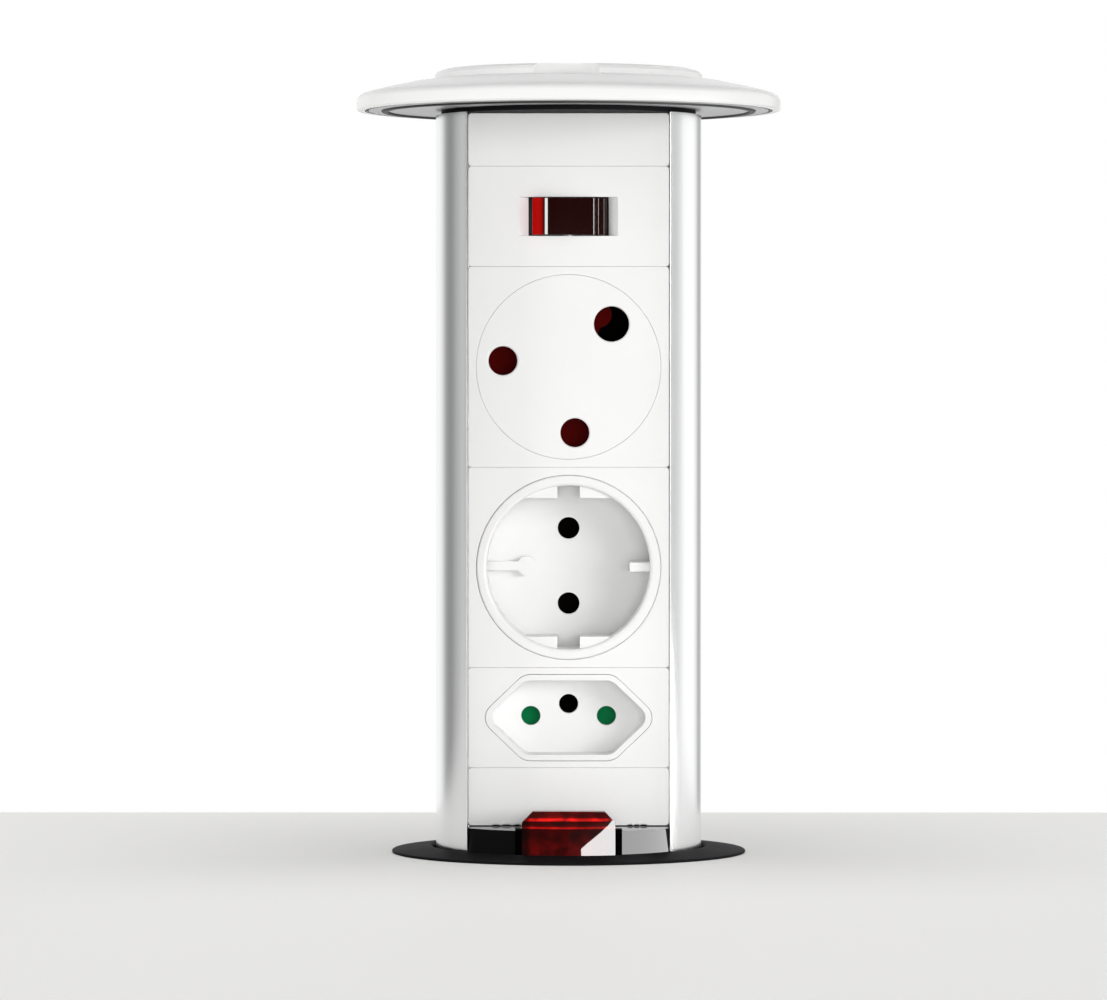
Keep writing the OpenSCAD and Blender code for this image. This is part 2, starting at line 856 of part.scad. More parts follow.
// brass sleeves of the hexagonal socket
module hex_contacts() {
    y0 = -face_y + hex_depth + 4.8;
    color("#c39a4a") {
        contact(-hex_gap / 2, hex_z, hex_hole_r - 0.2, y0, 12, bus_x[0]);
        contact(hex_gap / 2, hex_z, hex_hole_r - 0.2, y0, 12, bus_x[1], -1.9);
        contact(0, hex_z + 3, hex_hole_r - 0.2, y0, 12, bus_x[2], 1.2);
    }
}

// blank plate above the lock block
module bottom_blank() {
    color("#f2f2f0")
        insert_plate(insert_z0, low_blank_h);
}

// one bus bar from the terminal block up to a height
module bus_bar(x, z1) {
    z0 = block_z + 4;
    translate([x - bus_w / 2, housing_back, z0])
        cube([bus_w, bus_t, z1 - z0]);
}

// live bar
module live_bar() {
    color("#b9803a")
        bus_bar(bus_x[0], breaker_z + 6);
}

// neutral bar
module neutral_bar() {
    color("#b9803a")
        bus_bar(bus_x[1], breaker_z + 6);
}

// earth bar
module earth_bar() {
    color("#b9803a")
        bus_bar(bus_x[2], three_z + 14);
}

// terminal block for the supply cable
module terminal_block() {
    color("#d8d4c4")
        difference() {
            translate([-block_w / 2, housing_back - block_d, block_z])
                cube([block_w, block_d, block_h]);
            for (x = bus_x) {
                translate([x, housing_back - 9, block_z - 1])
                    cylinder(r = 2, h = block_h + 2, $fn = 32);
                translate([x, housing_back - 9, block_z + block_h / 2])
                    rotate([90, 0, 0])
                        cylinder(r = 2.2, h = 10, $fn = 32);
            }
        }
}

// three clamp screws of the terminal block
module terminal_screws() {
    color("#9a9da1")
        for (x = bus_x)
            translate([x, housing_back - 10.8, block_z + block_h / 2])
                rotate([90, 0, 0])
                    cylinder(r = 2.15, h = 2.8, $fn = 32);
}

// glossy black block in front of the profile, with the latch's pocket
module lock_housing() {
    low = tower_bottom;
    color("#101012")
        difference() {
            intersection() {
                translate([0, 0, low])
                    cylinder(r = tower_r, h = block_top - low);
                translate([-insert_w / 2 - 0.1, -tower_r - 1, low])
                    cube([insert_w + 0.2, tower_r + 1 + plate_back, block_top - low + 1]);
            }
            translate([-latch_gap_w / 2, -tower_r - 1, pivot_z - 8])
                cube([latch_gap_w, tower_r + 1 - pocket_back, block_top - pivot_z + 9]);
            translate([-19, -tower_r - 1, catch_z - 3])
                cube([38, tower_r + 1 - pocket_back, 6]);
            translate([-pin_half, pivot_y, pivot_z])
                rotate([0, 90, 0])
                    cylinder(r = pin_r + 0.05, h = 2 * pin_half, $fn = 32);
            translate([-12, -pocket_back + 2.4, low + 10])
                cube([24, 20, block_top - low - 13]);
            for (s = [-1, 1])
                translate([s * 18.5 - 4, -pocket_back + 2.4, low + 10])
                    cube([8, 20, block_top - low - 13]);
            for (x = [-lock_screw[0], lock_screw[0]])
                translate([x, lock_screw[1], low - 1])
                    cylinder(r = port_r, h = 9, $fn = 32);
        }
}

// two screws from below that hold the lock block on the bottom cap
module lock_screws() {
    color("#9a9da1")
        for (x = [-lock_screw[0], lock_screw[0]])
            translate([x, lock_screw[1], tower_bottom - cap_t + 1.2])
                rotate([180, 0, 0])
                    screw(3, port_r - 0.05, 9, $fn = 32);
}

// pin that the latch turns on
module latch_pin() {
    color("#9a9da1")
        translate([0.1 - pin_half, pivot_y, pivot_z])
            rotate([0, 90, 0])
                cylinder(r = pin_r, h = 2 * pin_half - 0.2, $fn = 32);
}

// clear red latch with a bevelled thumb tab
module release_latch() {
    half = latch_w / 2;
    cut = 2.6;
    color("#c3121c")
        difference() {
            intersection() {
                union() {
                    translate([-half, 0, 0])
                        rotate([90, 0, 90])
                            linear_extrude(latch_w)
                                polygon([
                                    [-latch_r - 1, -2], [-latch_r - 1, latch_top - 3.2],
                                    [-latch_r + 2.8, latch_top], [-latch_back - 0.5, latch_top],
                                    [-latch_back, latch_top - 0.5], [-latch_back, -18], [pivot_y + 2.6, -24],
                                    [pivot_y + 2.6, pivot_z], [pivot_y - 2.6, pivot_z],
                                    [pivot_y - 2.6, -24], [-latch_back - 3.4, -16], [-latch_back - 3.4, -4]]);
                    translate([-half, pivot_y, pivot_z])
                        rotate([0, 90, 0])
                            cylinder(r = 3.6, h = latch_w, $fn = 48);
                }
                translate([0, 0, -60])
                    cylinder(r = latch_r, h = 90);
                rotate([90, 0, 0])
                    linear_extrude(60)
                        polygon([
                            [-half, -60], [half, -60], [half, latch_top - cut], [half - cut, latch_top + e],
                            [cut - half, latch_top + e], [-half, latch_top - cut]]);
            }
            translate([-half - 1, pivot_y, pivot_z])
                rotate([0, 90, 0])
                    cylinder(r = pin_r + 0.25, h = latch_w + 2, $fn = 32);
        }
}

// bent leaf that holds the latch out; its two ears reach into the collar's pockets
module catch_spring() {
    t = 0.5;
    color("#b8bcc2") {
        translate([-6, 0, 0])
            rotate([90, 0, 90])
                linear_extrude(12)
                    polygon([
                        [-pocket_back, pivot_z - 7], [-pocket_back - t, pivot_z - 7], [-pocket_back - t, -24],
                        [-latch_back + 0.1, -10], [-latch_back + 0.1, -4], [-latch_back + 0.1 + t, -4],
                        [-latch_back + 0.1 + t, -10.2], [-pocket_back, -24.2]]);
        translate([-18, -latch_back + 0.1, catch_z - 2.2])
            cube([36, t, 4.4]);
        for (s = [-1, 1])
            translate([s * 16.2 - 1.6, -sqrt(pow(bore_r + 1.4, 2) - 256), catch_z - 2.2])
                cube([3.2, sqrt(pow(bore_r + 1.4, 2) - 256) - latch_back + 0.1 + t, 4.4]);
    }
}

// cap that closes the profile and stops the tower under the collar
module bottom_cap() {
    color("#1c1c1e")
        translate([0, 0, tower_bottom - cap_t])
            difference() {
                union() {
                    cylinder(r = collar_r - 2, h = cap_t);
                    intersection() {
                        cylinder(r = cavity_r - 0.3, h = cap_t + 6);
                        translate([-cavity_x + 0.3, -7.8, 0])
                            cube([2 * cavity_x - 0.6, 30, cap_t + 6]);
                    }
                }
                translate([-cavity_x + 2.3, -5.8, cap_t])
                    cube([2 * cavity_x - 4.6, 26, 8]);
                translate([0, gland_y, -1])
                    cylinder(r = 8.05, h = cap_t + 2);
                for (p = concat(port, [lock_screw, [-lock_screw[0], lock_screw[1]]])) {
                    translate([p[0], p[1], -e])
                        cylinder(r1 = 3.1, r2 = port_r + 0.1, h = 1.3, $fn = 32);
                    translate([p[0], p[1], -1])
                        cylinder(r = port_r + 0.1, h = cap_t + 10, $fn = 32);
                }
            }
}

// four screws from below into the profile
module bottom_cap_screws() {
    color("#9a9da1")
        for (p = port)
            translate([p[0], p[1], tower_bottom - cap_t + 1.2])
                rotate([180, 0, 0])
                    screw(3, port_r - 0.05, 14, $fn = 32);
}

// threaded body of the cable gland
module gland_body() {
    color("#26272a")
        translate([0, gland_y, tower_bottom - cap_t])
            difference() {
                union() {
                    translate([0, 0, -5])
                        cylinder(r = 11.5, h = 5, $fn = 6);
                    translate([0, 0, -11])
                        cylinder(r = 8, h = cap_t + 15);
                }
                translate([0, 0, -12])
                    cylinder(r = cable_r + 2, h = 40);
            }
}

// lock nut of the gland, inside the cap
module gland_lock_nut() {
    color("#26272a")
        translate([0, gland_y, tower_bottom])
            difference() {
                cylinder(r = 11, h = 3.5, $fn = 6);
                translate([0, 0, -1])
                    cylinder(r = 8.05, h = 6);
            }
}

// rubber sleeve that grips the cable
module gland_seal() {
    color("#0e0e0f")
        translate([0, gland_y, tower_bottom - cap_t - gland_len + 4])
            difference() {
                cylinder(r = cable_r + 1.9, h = gland_len - 2);
                translate([0, 0, -1])
                    cylinder(r = cable_r, h = gland_len);
            }
}

// domed cap nut of the gland
module gland_nut() {
    color("#26272a")
        translate([0, gland_y, tower_bottom - cap_t - gland_len])
            difference() {
                union() {
                    translate([0, 0, gland_len - 12.4])
                        cylinder(r = 11, h = 7, $fn = 6);
                    cylinder(r1 = 8, r2 = 9.6, h = gland_len - 12.4 + e);
                }
                translate([0, 0, -1])
                    cylinder(r = cable_r + 0.6, h = 40);
                translate([0, 0, 3.9])
                    cylinder(r = cable_r + 2, h = 40);
                translate([0, 0, gland_len - 11.4])
                    cylinder(r = 8.05, h = 40);
            }
}

desk_collar();
guide_pads();
clamp_washer();
clamp_nut();
tower_profile();
top_cap();
lid_plate();
lid_seal();
lid_screws();
lid_shell();
top_blank();
breaker_plate();
breaker_body();
breaker_blades();
rocker_pin();
breaker_rocker();
three_pin_plate();
three_pin_disc();
three_pin_shutter();
three_pin_spring();
three_pin_housing();
three_pin_contacts();
well_plate();
well_cup();
side_earth_clips();
well_housing();
well_contacts();
hex_plate();
hex_cup();
hex_shutter();
hex_spring();
hex_housing();
hex_contacts();
bottom_blank();
live_bar();
neutral_bar();
earth_bar();
terminal_block();
terminal_screws();
lock_housing();
latch_pin();
release_latch();
catch_spring();
lock_screws();
bottom_cap();
bottom_cap_screws();
gland_body();
gland_lock_nut();
gland_seal();
gland_nut();
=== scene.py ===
"""The looks of a pop up desk socket, drawn raised as in its photograph.

Lengths in the sections are in millimetres, with the origin on the desk top, on the tower's axis.
X is right, Y is to the back and Z is up. The sections follow the order of assembly.
"""

import json
import math

import bpy
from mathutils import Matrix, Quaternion, Vector

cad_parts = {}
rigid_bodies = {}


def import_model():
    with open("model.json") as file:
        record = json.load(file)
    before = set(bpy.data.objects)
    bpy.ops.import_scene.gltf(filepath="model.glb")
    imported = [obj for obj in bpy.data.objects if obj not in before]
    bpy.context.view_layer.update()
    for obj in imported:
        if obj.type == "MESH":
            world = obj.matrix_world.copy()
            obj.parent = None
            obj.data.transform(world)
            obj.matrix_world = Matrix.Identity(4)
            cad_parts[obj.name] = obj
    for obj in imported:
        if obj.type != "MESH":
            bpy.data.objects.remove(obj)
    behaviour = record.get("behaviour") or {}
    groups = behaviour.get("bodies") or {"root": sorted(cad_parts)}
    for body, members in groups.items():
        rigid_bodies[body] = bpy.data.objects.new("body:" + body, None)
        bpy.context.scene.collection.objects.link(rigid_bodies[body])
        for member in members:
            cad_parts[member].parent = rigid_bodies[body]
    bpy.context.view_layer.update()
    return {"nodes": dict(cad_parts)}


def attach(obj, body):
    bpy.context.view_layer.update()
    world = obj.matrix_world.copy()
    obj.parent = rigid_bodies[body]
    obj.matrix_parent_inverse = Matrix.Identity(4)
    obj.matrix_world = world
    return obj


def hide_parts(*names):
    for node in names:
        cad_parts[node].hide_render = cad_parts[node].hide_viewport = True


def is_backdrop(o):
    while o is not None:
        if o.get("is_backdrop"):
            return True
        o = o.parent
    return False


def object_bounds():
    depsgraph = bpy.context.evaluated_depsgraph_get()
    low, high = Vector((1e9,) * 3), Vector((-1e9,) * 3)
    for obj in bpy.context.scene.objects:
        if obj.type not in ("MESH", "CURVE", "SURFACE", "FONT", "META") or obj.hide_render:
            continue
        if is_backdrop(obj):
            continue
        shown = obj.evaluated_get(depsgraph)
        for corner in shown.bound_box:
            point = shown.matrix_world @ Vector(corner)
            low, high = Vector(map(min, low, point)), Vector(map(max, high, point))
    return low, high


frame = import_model()


# Studio
# A long lens a little above the middle of the tower, in front of a white background.
# A long strip of light runs from front to back on the right, and the room behind the camera is dim.
MM = 0.001
camera_place = Vector((0, -1400, 111.3)) * MM
camera_target = Vector((-3.8, 0, 88.6)) * MM

bpy.ops.object.camera_add(location=camera_place)
camera = bpy.context.active_object
camera.rotation_euler = (camera_target - camera_place).to_track_quat("-Z", "Y").to_euler()
camera.data.sensor_width = 36
camera.data.lens = 180.8
camera.data.clip_start = 0.05
camera.data.clip_end = 20
bpy.context.scene.camera = camera
bpy.context.scene.view_settings.view_transform = "Standard"


def softbox(name, place, target, width, height, power, mirrored):
    """An area light turned to a target: polished faces mirror it, or else it lights all the rest."""
    place = Vector(place) * MM
    bpy.ops.object.light_add(type="AREA", location=place)
    lamp = bpy.context.active_object
    lamp.name = name
    lamp.rotation_euler = (Vector(target) * MM - place).to_track_quat("-Z", "Y").to_euler()
    lamp.data.shape = "RECTANGLE"
    lamp.data.size = width * MM
    lamp.data.size_y = height * MM
    lamp.data.energy = power
    lamp.visible_camera = False
    lamp.visible_glossy = mirrored
    lamp.visible_diffuse = not mirrored
    if mirrored:
        # its mirror image throws no light back on to matt faces
        lamp.data.use_nodes = True
        nodes, links = lamp.data.node_tree.nodes, lamp.data.node_tree.links
        path = nodes.new("ShaderNodeLightPath")
        first = nodes.new("ShaderNodeMath")
        first.operation = "LESS_THAN"
        first.inputs[1].default_value = 0.5
        links.new(path.outputs["Diffuse Depth"], first.inputs[0])
        links.new(first.outputs[0], nodes["Emission"].inputs["Strength"])
    lamp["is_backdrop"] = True
    return lamp


softbox("strip_light", (180.7, -425.3, 78), (-2.3, -404.3, 78), 731, 155, 3.04, True)
softbox("foot_light", (226.7, -24.9, 18), (43.7, -3.9, 18), 75, 34, 0.068, True)
softbox("rocker_light", (900, -350, 195), (0, 0, 195), 700, 60, 3, True)
front_light = softbox("front_light", (80, -1480, 120), (0, 0, 60), 500, 200, 4.4, False)
right_light = softbox("right_light", (900, -1000, 250), (0, 0, 60), 700, 460, 8.8, False)
softbox("left_sky", (-1100, -300, 520), (0, 0, 190), 600, 600, 7.4, False)
softbox("back_light", (500, 1100, 700), (0, 0, 190), 800, 800, 14, False)
low_light = softbox("low_light", (-20, -340, 30), (-6, 0, 2), 160, 60, 0.0075, False)
low_light.data.spread = math.radians(40)
desk_light = softbox("desk_light", (0, -200, 2500), (0, -200, 0), 2500, 2500, 54, False)

# how bright the room is round the compass: 0 and 1 are the front, 0.25 left, 0.5 the back, 0.75 right
room = [
    (0.00, 0.03), (0.15, 0.03), (0.262, 0.04), (0.282, 0.68), (0.314, 0.46), (0.342, 0.24),
    (0.36, 0.27), (0.376, 0.42), (0.394, 0.85), (0.42, 1.0), (0.53, 1.0), (0.548, 0.55), (0.569, 0.30),
    (0.594, 0.80), (0.612, 1.1), (0.668, 1.1), (0.69, 0.70), (0.71, 0.50), (0.75, 0.44), (0.85, 0.15),
    (1.00, 0.05),
]
ceiling_level = 0.05
soft_level = 0.27


def set_stops(ramp, stops):
    """Gives a colour ramp its stops, each a place and a colour."""
    ready = len(ramp.elements)
    for number, (at, colour) in enumerate(stops):
        if number < ready:
            point = ramp.elements[number]
            point.position = at
        else:
            point = ramp.elements.new(at)
        point.color = (*colour, 1)


world = bpy.data.worlds.new("studio_room")
bpy.context.scene.world = world
world.use_nodes = True
nodes, links = world.node_tree.nodes, world.node_tree.links
background = nodes["Background"]
direction = nodes.new("ShaderNodeTexCoord")
axes = nodes.new("ShaderNodeSeparateXYZ")
bearing = nodes.new("ShaderNodeMath")
bearing.operation = "ARCTAN2"
compass = nodes.new("ShaderNodeMapRange")
compass.inputs["From Min"].default_value = -math.pi
compass.inputs["From Max"].default_value = math.pi
levels = nodes.new("ShaderNodeValToRGB")
levels.color_ramp.interpolation = "EASE"
set_stops(levels.color_ramp, [(at, (level, level, level)) for at, level in room])
upward = nodes.new("ShaderNodeMapRange")
upward.interpolation_type = "SMOOTHSTEP"
upward.inputs["From Min"].default_value = 0.55
upward.inputs["From Max"].default_value = 0.95
ceiling = nodes.new("ShaderNodeMix")
ceiling.data_type = "RGBA"
ceiling.inputs["B"].default_value = (ceiling_level, ceiling_level, ceiling_level, 1)
rays = nodes.new("ShaderNodeLightPath")
soft = nodes.new("ShaderNodeMix")
soft.data_type = "RGBA"
soft.inputs["B"].default_value = (soft_level, soft_level, soft_level, 1)
seen = nodes.new("ShaderNodeMix")
seen.data_type = "RGBA"
seen.inputs["B"].default_value = (1, 1, 1, 1)
links.new(direction.outputs["Generated"], axes.inputs[0])
links.new(axes.outputs["X"], bearing.inputs[0])
links.new(axes.outputs["Y"], bearing.inputs[1])
links.new(bearing.outputs[0], compass.inputs["Value"])
links.new(compass.outputs[0], levels.inputs[0])
links.new(axes.outputs["Z"], upward.inputs["Value"])
links.new(upward.outputs[0], ceiling.inputs["Factor"])
links.new(levels.outputs[0], ceiling.inputs["A"])
links.new(rays.outputs["Is Camera Ray"], seen.inputs["Factor"])
links.new(rays.outputs["Is Diffuse Ray"], soft.inputs["Factor"])
links.new(ceiling.outputs["Result"], soft.inputs["A"])
links.new(soft.outputs["Result"], seen.inputs["A"])
links.new(seen.outputs["Result"], background.inputs["Color"])


# Floor
# A plain pale desk top with a round hole that the collar drops into; it isn't part of the object.
# It is clear from below, so that the fitting under the desk can be looked at.
hole_r = 40
desk_reach = 2000
desk_back = 135.5

bpy.ops.mesh.primitive_circle_add(vertices=128, radius=hole_r * MM)
floor = bpy.context.active_object
floor.name = "desk_top"
bpy.ops.object.mode_set(mode="EDIT")
bpy.ops.mesh.select_all(action="SELECT")
bpy.ops.mesh.extrude_edges_move()
bpy.ops.transform.resize(value=(desk_reach / hole_r, desk_reach / hole_r, 1))
bpy.ops.mesh.select_all(action="SELECT")
bpy.ops.mesh.bisect(plane_co=(0, desk_back * MM, 0), plane_no=(0, 1, 0), clear_outer=True)
bpy.ops.object.mode_set(mode="OBJECT")
if floor.data.polygons[0].normal.z < 0:
    floor.data.flip_normals()

desk_finish = bpy.data.materials.new("pale_desk")
desk_finish.use_nodes = True
nodes, links = desk_finish.node_tree.nodes, desk_finish.node_tree.links
shader = nodes["Principled BSDF"]
shader.inputs["Base Color"].default_value = (0.86, 0.855, 0.84, 1)
shader.inputs["Roughness"].default_value = 0.6
shader.inputs["Specular IOR Level"].default_value = 0.2
clear = nodes.new("ShaderNodeBsdfTransparent")
facing = nodes.new("ShaderNodeNewGeometry")
either = nodes.new("ShaderNodeMixShader")
links.new(facing.outputs["Backfacing"], either.inputs[0])
links.new(shader.outputs[0], either.inputs[1])
links.new(clear.outputs[0], either.inputs[2])
links.new(either.outputs[0], nodes["Material Output"].inputs["Surface"])
floor.data.materials.append(desk_finish)
floor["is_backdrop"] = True

# the desk has a lamp of its own, so that the lamps near it leave no bright spots on it
desk_alone = bpy.data.collections.new("desk_alone")
desk_alone.objects.link(floor)
all_but_desk = bpy.data.collections.new("all_but_desk")
all_but_desk.objects.link(floor)
all_but_desk.collection_objects[0].light_linking.link_state = "EXCLUDE"
for lamp in bpy.context.scene.objects:
    if lamp.type == "LIGHT":
        lamp.light_linking.receiver_collection = desk_alone if lamp == desk_light else all_but_desk


# Desk collar
# Black moulded plastic: a thin flange on the desk, a plain sleeve through it and a thinner one below.
# A channel in front lets the latch pass, and two pockets take the ears of the catch.
def effect_group(name, shade_low):
    """A node group that varies a colour and a roughness; the patterns and the height are linked in later."""
    group = bpy.data.node_groups.new(name, "ShaderNodeTree")
    for way, last in (("INPUT", "Grain"), ("OUTPUT", "Height")):
        group.interface.new_socket("Color", in_out=way, socket_type="NodeSocketColor")
        group.interface.new_socket("Roughness", in_out=way, socket_type="NodeSocketFloat")
        group.interface.new_socket(last, in_out=way, socket_type="NodeSocketFloat")
    nodes, links = group.nodes, group.links
    given = nodes.new("NodeGroupInput")
    result = nodes.new("NodeGroupOutput")
    shade = nodes.new("ShaderNodeMapRange")
    shade.inputs["To Min"].default_value = shade_low
    shade.inputs["To Max"].default_value = 1.03
    tint = nodes.new("ShaderNodeVectorMath")
    tint.operation = "SCALE"
    gloss = nodes.new("ShaderNodeMapRange")
    gloss.inputs["To Min"].default_value = 0.85
    gloss.inputs["To Max"].default_value = 1.15
    rough = nodes.new("ShaderNodeMath")
    rough.operation = "MULTIPLY"
    links.new(given.outputs["Color"], tint.inputs[0])
    links.new(shade.outputs[0], tint.inputs["Scale"])
    links.new(given.outputs["Roughness"], rough.inputs[0])
    links.new(gloss.outputs[0], rough.inputs[1])
    links.new(tint.outputs[0], result.inputs["Color"])
    links.new(rough.outputs[0], result.inputs["Roughness"])
    return group, given, result, shade, gloss


def moulded_grain():
    """A node group for moulded plastic: a fine grain, faint flow marks and a little wear in the gloss."""
    group, given, result, shade, gloss = effect_group("moulded_grain", 0.97)
    nodes, links = group.nodes, group.links
    place = nodes.new("ShaderNodeTexCoord")
    flow = nodes.new("ShaderNodeTexNoise")
    flow.inputs["Scale"].default_value = 45
    flow.inputs["Detail"].default_value = 3
    grain = nodes.new("ShaderNodeTexNoise")
    grain.inputs["Detail"].default_value = 2
    links.new(place.outputs["Object"], flow.inputs["Vector"])
    links.new(place.outputs["Object"], grain.inputs["Vector"])
    links.new(given.outputs["Grain"], grain.inputs["Scale"])
    links.new(flow.outputs["Fac"], shade.inputs["Value"])
    links.new(flow.outputs["Fac"], gloss.inputs["Value"])
    links.new(grain.outputs["Fac"], result.inputs["Height"])
    return group


def surface(name, group, colour, roughness, grain, relief, *finish):
    """A material with its colour, roughness and relief from a node group; finish sets other inputs."""
    material = bpy.data.materials.new(name)
    material.use_nodes = True
    nodes, links = material.node_tree.nodes, material.node_tree.links
    shader = nodes["Principled BSDF"]
    for label, value in finish:
        shader.inputs[label].default_value = value
    effect = nodes.new("ShaderNodeGroup")
    effect.node_tree = group
    effect.inputs["Color"].default_value = (*colour, 1)
    effect.inputs["Roughness"].default_value = roughness
    effect.inputs["Grain"].default_value = grain
    bump = nodes.new("ShaderNodeBump")
    bump.inputs["Strength"].default_value = 1
    bump.inputs["Distance"].default_value = relief * MM
    links.new(effect.outputs["Color"], shader.inputs["Base Color"])
    links.new(effect.outputs["Roughness"], shader.inputs["Roughness"])
    links.new(effect.outputs["Height"], bump.inputs["Height"])
    links.new(bump.outputs[0], shader.inputs["Normal"])
    return material


def turned(name, outline, sides=192, ring=True):
    """A turned piece: a circle extruded along the (radius, height) points of an outline.

    Its first and last circles are joined to make a ring, or else each of them is filled.
    """
    radius, height = outline[0]
    bpy.ops.mesh.primitive_circle_add(vertices=sides, radius=radius * MM, location=(0, 0, height * MM))
    piece = bpy.context.active_object
    piece.name = name
    bpy.ops.object.transform_apply(location=True, rotation=True, scale=True)
    bpy.ops.object.mode_set(mode="EDIT")
    bpy.ops.mesh.select_all(action="SELECT")
    for (r0, z0), (r1, z1) in zip(outline, outline[1:]):
        bpy.ops.mesh.extrude_edges_move(TRANSFORM_OT_translate={"value": (0, 0, (z1 - z0) * MM)})
        bpy.ops.transform.resize(value=(r1 / r0, r1 / r0, 1), center_override=(0, 0, 0))
    if ring:
        bpy.ops.mesh.select_all(action="DESELECT")
        bpy.ops.mesh.select_non_manifold(extend=False)
        bpy.ops.mesh.bridge_edge_loops()
    bpy.ops.mesh.select_all(action="SELECT")
    bpy.ops.mesh.remove_doubles(threshold=0.001 * MM)
    bpy.ops.mesh.delete_loose()
    bpy.ops.mesh.select_all(action="SELECT")
    if not ring:
        bpy.ops.mesh.fill_holes(sides=0)
    bpy.ops.mesh.normals_make_consistent(inside=False)
    bpy.ops.object.mode_set(mode="OBJECT")
    return piece


def block(name, low, high):
    """A block between two corners."""
    size = [(b - a) * MM for a, b in zip(low, high)]
    middle = [(a + b) / 2 * MM for a, b in zip(low, high)]
    bpy.ops.mesh.primitive_cube_add(size=1, location=middle, scale=size)
    piece = bpy.context.active_object
    piece.name = name
    bpy.ops.object.transform_apply(location=True, rotation=True, scale=True)
    return piece


def bar(name, radius, start, end, sides=96, turn=0):
    """A round or many-sided bar from one point to another, turned about its length."""
    start, end = Vector(start) * MM, Vector(end) * MM
    run = end - start
    facing = (run.to_track_quat("Z", "Y") @ Quaternion((0, 0, 1), turn)).to_euler()
    bpy.ops.mesh.primitive_cylinder_add(
        vertices=sides, radius=radius * MM, depth=run.length, location=(start + end) / 2, rotation=facing)
    piece = bpy.context.active_object
    piece.name = name
    bpy.ops.object.transform_apply(location=True, rotation=True, scale=True)
    return piece


def slice_off(piece, point, outward):
    """Cuts off the side of a piece that lies outward of a plane, and closes the cut."""
    bpy.context.view_layer.objects.active = piece
    bpy.ops.object.mode_set(mode="EDIT")
    bpy.ops.mesh.select_all(action="SELECT")
    bpy.ops.mesh.bisect(plane_co=Vector(point) * MM, plane_no=outward, use_fill=True, clear_outer=True)
    bpy.ops.object.mode_set(mode="OBJECT")
    return piece


def joined(piece, tool, how):
    """Cuts a tool out of a piece, adds it or keeps only what they share; the tool is used up."""
    change = piece.modifiers.new("shape", "BOOLEAN")
    change.operation = how
    change.solver = "EXACT"
    change.object = tool
    bpy.context.view_layer.objects.active = piece
    bpy.ops.object.modifier_apply(modifier=change.name)
    bpy.data.objects.remove(tool, do_unlink=True)
    return piece


def soften(piece, width, steps=3, angle=30):
    """Rounds the sharp edges of a piece and shades it smoothly, with its flat faces kept flat."""
    bpy.ops.object.select_all(action="DESELECT")
    bpy.context.view_layer.objects.active = piece
    piece.select_set(True)
    edges = piece.modifiers.new("edges", "BEVEL")
    edges.width = width * MM
    edges.segments = steps
    edges.limit_method = "ANGLE"
    edges.angle_limit = math.radians(angle)
    edges.use_clamp_overlap = True
    bpy.ops.object.modifier_apply(modifier=edges.name)
    bpy.ops.object.shade_smooth_by_angle(angle=math.radians(50))
    even = piece.modifiers.new("even", "WEIGHTED_NORMAL")
    even.keep_sharp = True
    bpy.ops.object.modifier_apply(modifier=even.name)
    return piece


def placed(piece, material, body, slot, *stands_for):
    """Gives a finished piece its material and the body that carries it, and hides the nodes that it stands
    for.
    """
    piece.data.materials.clear()
    piece.data.materials.append(material)
    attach(piece, body)
    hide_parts(*stands_for)
    return piece


def dressed(material, *names):
    """Gives a material to pieces that keep their construction shape."""
    for name in names:
        node = frame["nodes"][name]
        node.data.materials.clear()
        node.data.materials.append(material)


plastic = moulded_grain()
black_satin = surface(
    "black_satin", plastic, (0.008, 0.008, 0.009), 0.55, 1400, 0.012, ("Specular IOR Level", 0.02))
pad_plastic = surface("pad_plastic", plastic, (0.62, 0.6, 0.53), 0.4, 900, 0.01)

collar_low = -50
plain_low = -20
crest = 1.8
bore_r = 34.3
threaded_r = 38.0
plain_r = 39.5
flange_r = 44.5
channel_r = 36.4
channel_half = 13.2
pocket_r = 36.7
pocket_x = 16.2
pocket_half = 2.4
front_half = -20

collar = turned("collar", [
    (bore_r, collar_low), (threaded_r - 0.8, collar_low), (threaded_r, collar_low + 0.8),
    (threaded_r, plain_low), (plain_r, plain_low), (plain_r, 0), (flange_r - 0.3, 0), (flange_r, 0.25),
    (flange_r, 0.5), (flange_r - 0.3, 0.7), (40.6, 1.15), (36.5, crest), (bore_r + 0.5, crest),
    (bore_r, crest - 0.5)])
channel = bar("channel", channel_r, (0, 0, collar_low - 2), (0, 0, 4), 192)
for side in (1, -1):
    slice_off(channel, (side * channel_half, 0, 0), (side, 0, 0))
slice_off(channel, (0, front_half, 0), (0, 1, 0))
joined(collar, channel, "DIFFERENCE")
for side in (-1, 1):
    pocket = bar("pocket", pocket_r, (0, 0, -11.5), (0, 0, -4.5), 192)
    slice_off(pocket, (side * pocket_x + pocket_half, 0, 0), (1, 0, 0))
    slice_off(pocket, (side * pocket_x - pocket_half, 0, 0), (-1, 0, 0))
    slice_off(pocket, (0, front_half, 0), (0, 1, 0))
    joined(collar, pocket, "DIFFERENCE")
joined(collar, block("key_rib", (-1.5, 31, collar_low + 2), (1.5, bore_r + 1, -4)), "UNION")
soften(collar, 0.22)
placed(collar, black_satin, "collar", "black_satin", "desk_collar")
dressed(pad_plastic, "guide_pads")


# Thread of the collar
# A coarse ridge moulded round the thin part of the sleeve, in a black that is a little less deep.
thread_pitch = 4
thread_turns = 6
thread_low = -47.5
ridge_r = 38.35
ridge_depth = 1.3
ridge_root = 2.6
crest_share = 0.4
steps_a_turn = 96

black_matt = surface("black_matt", plastic, (0.018, 0.018, 0.019), 0.42, 1100, 0.012)


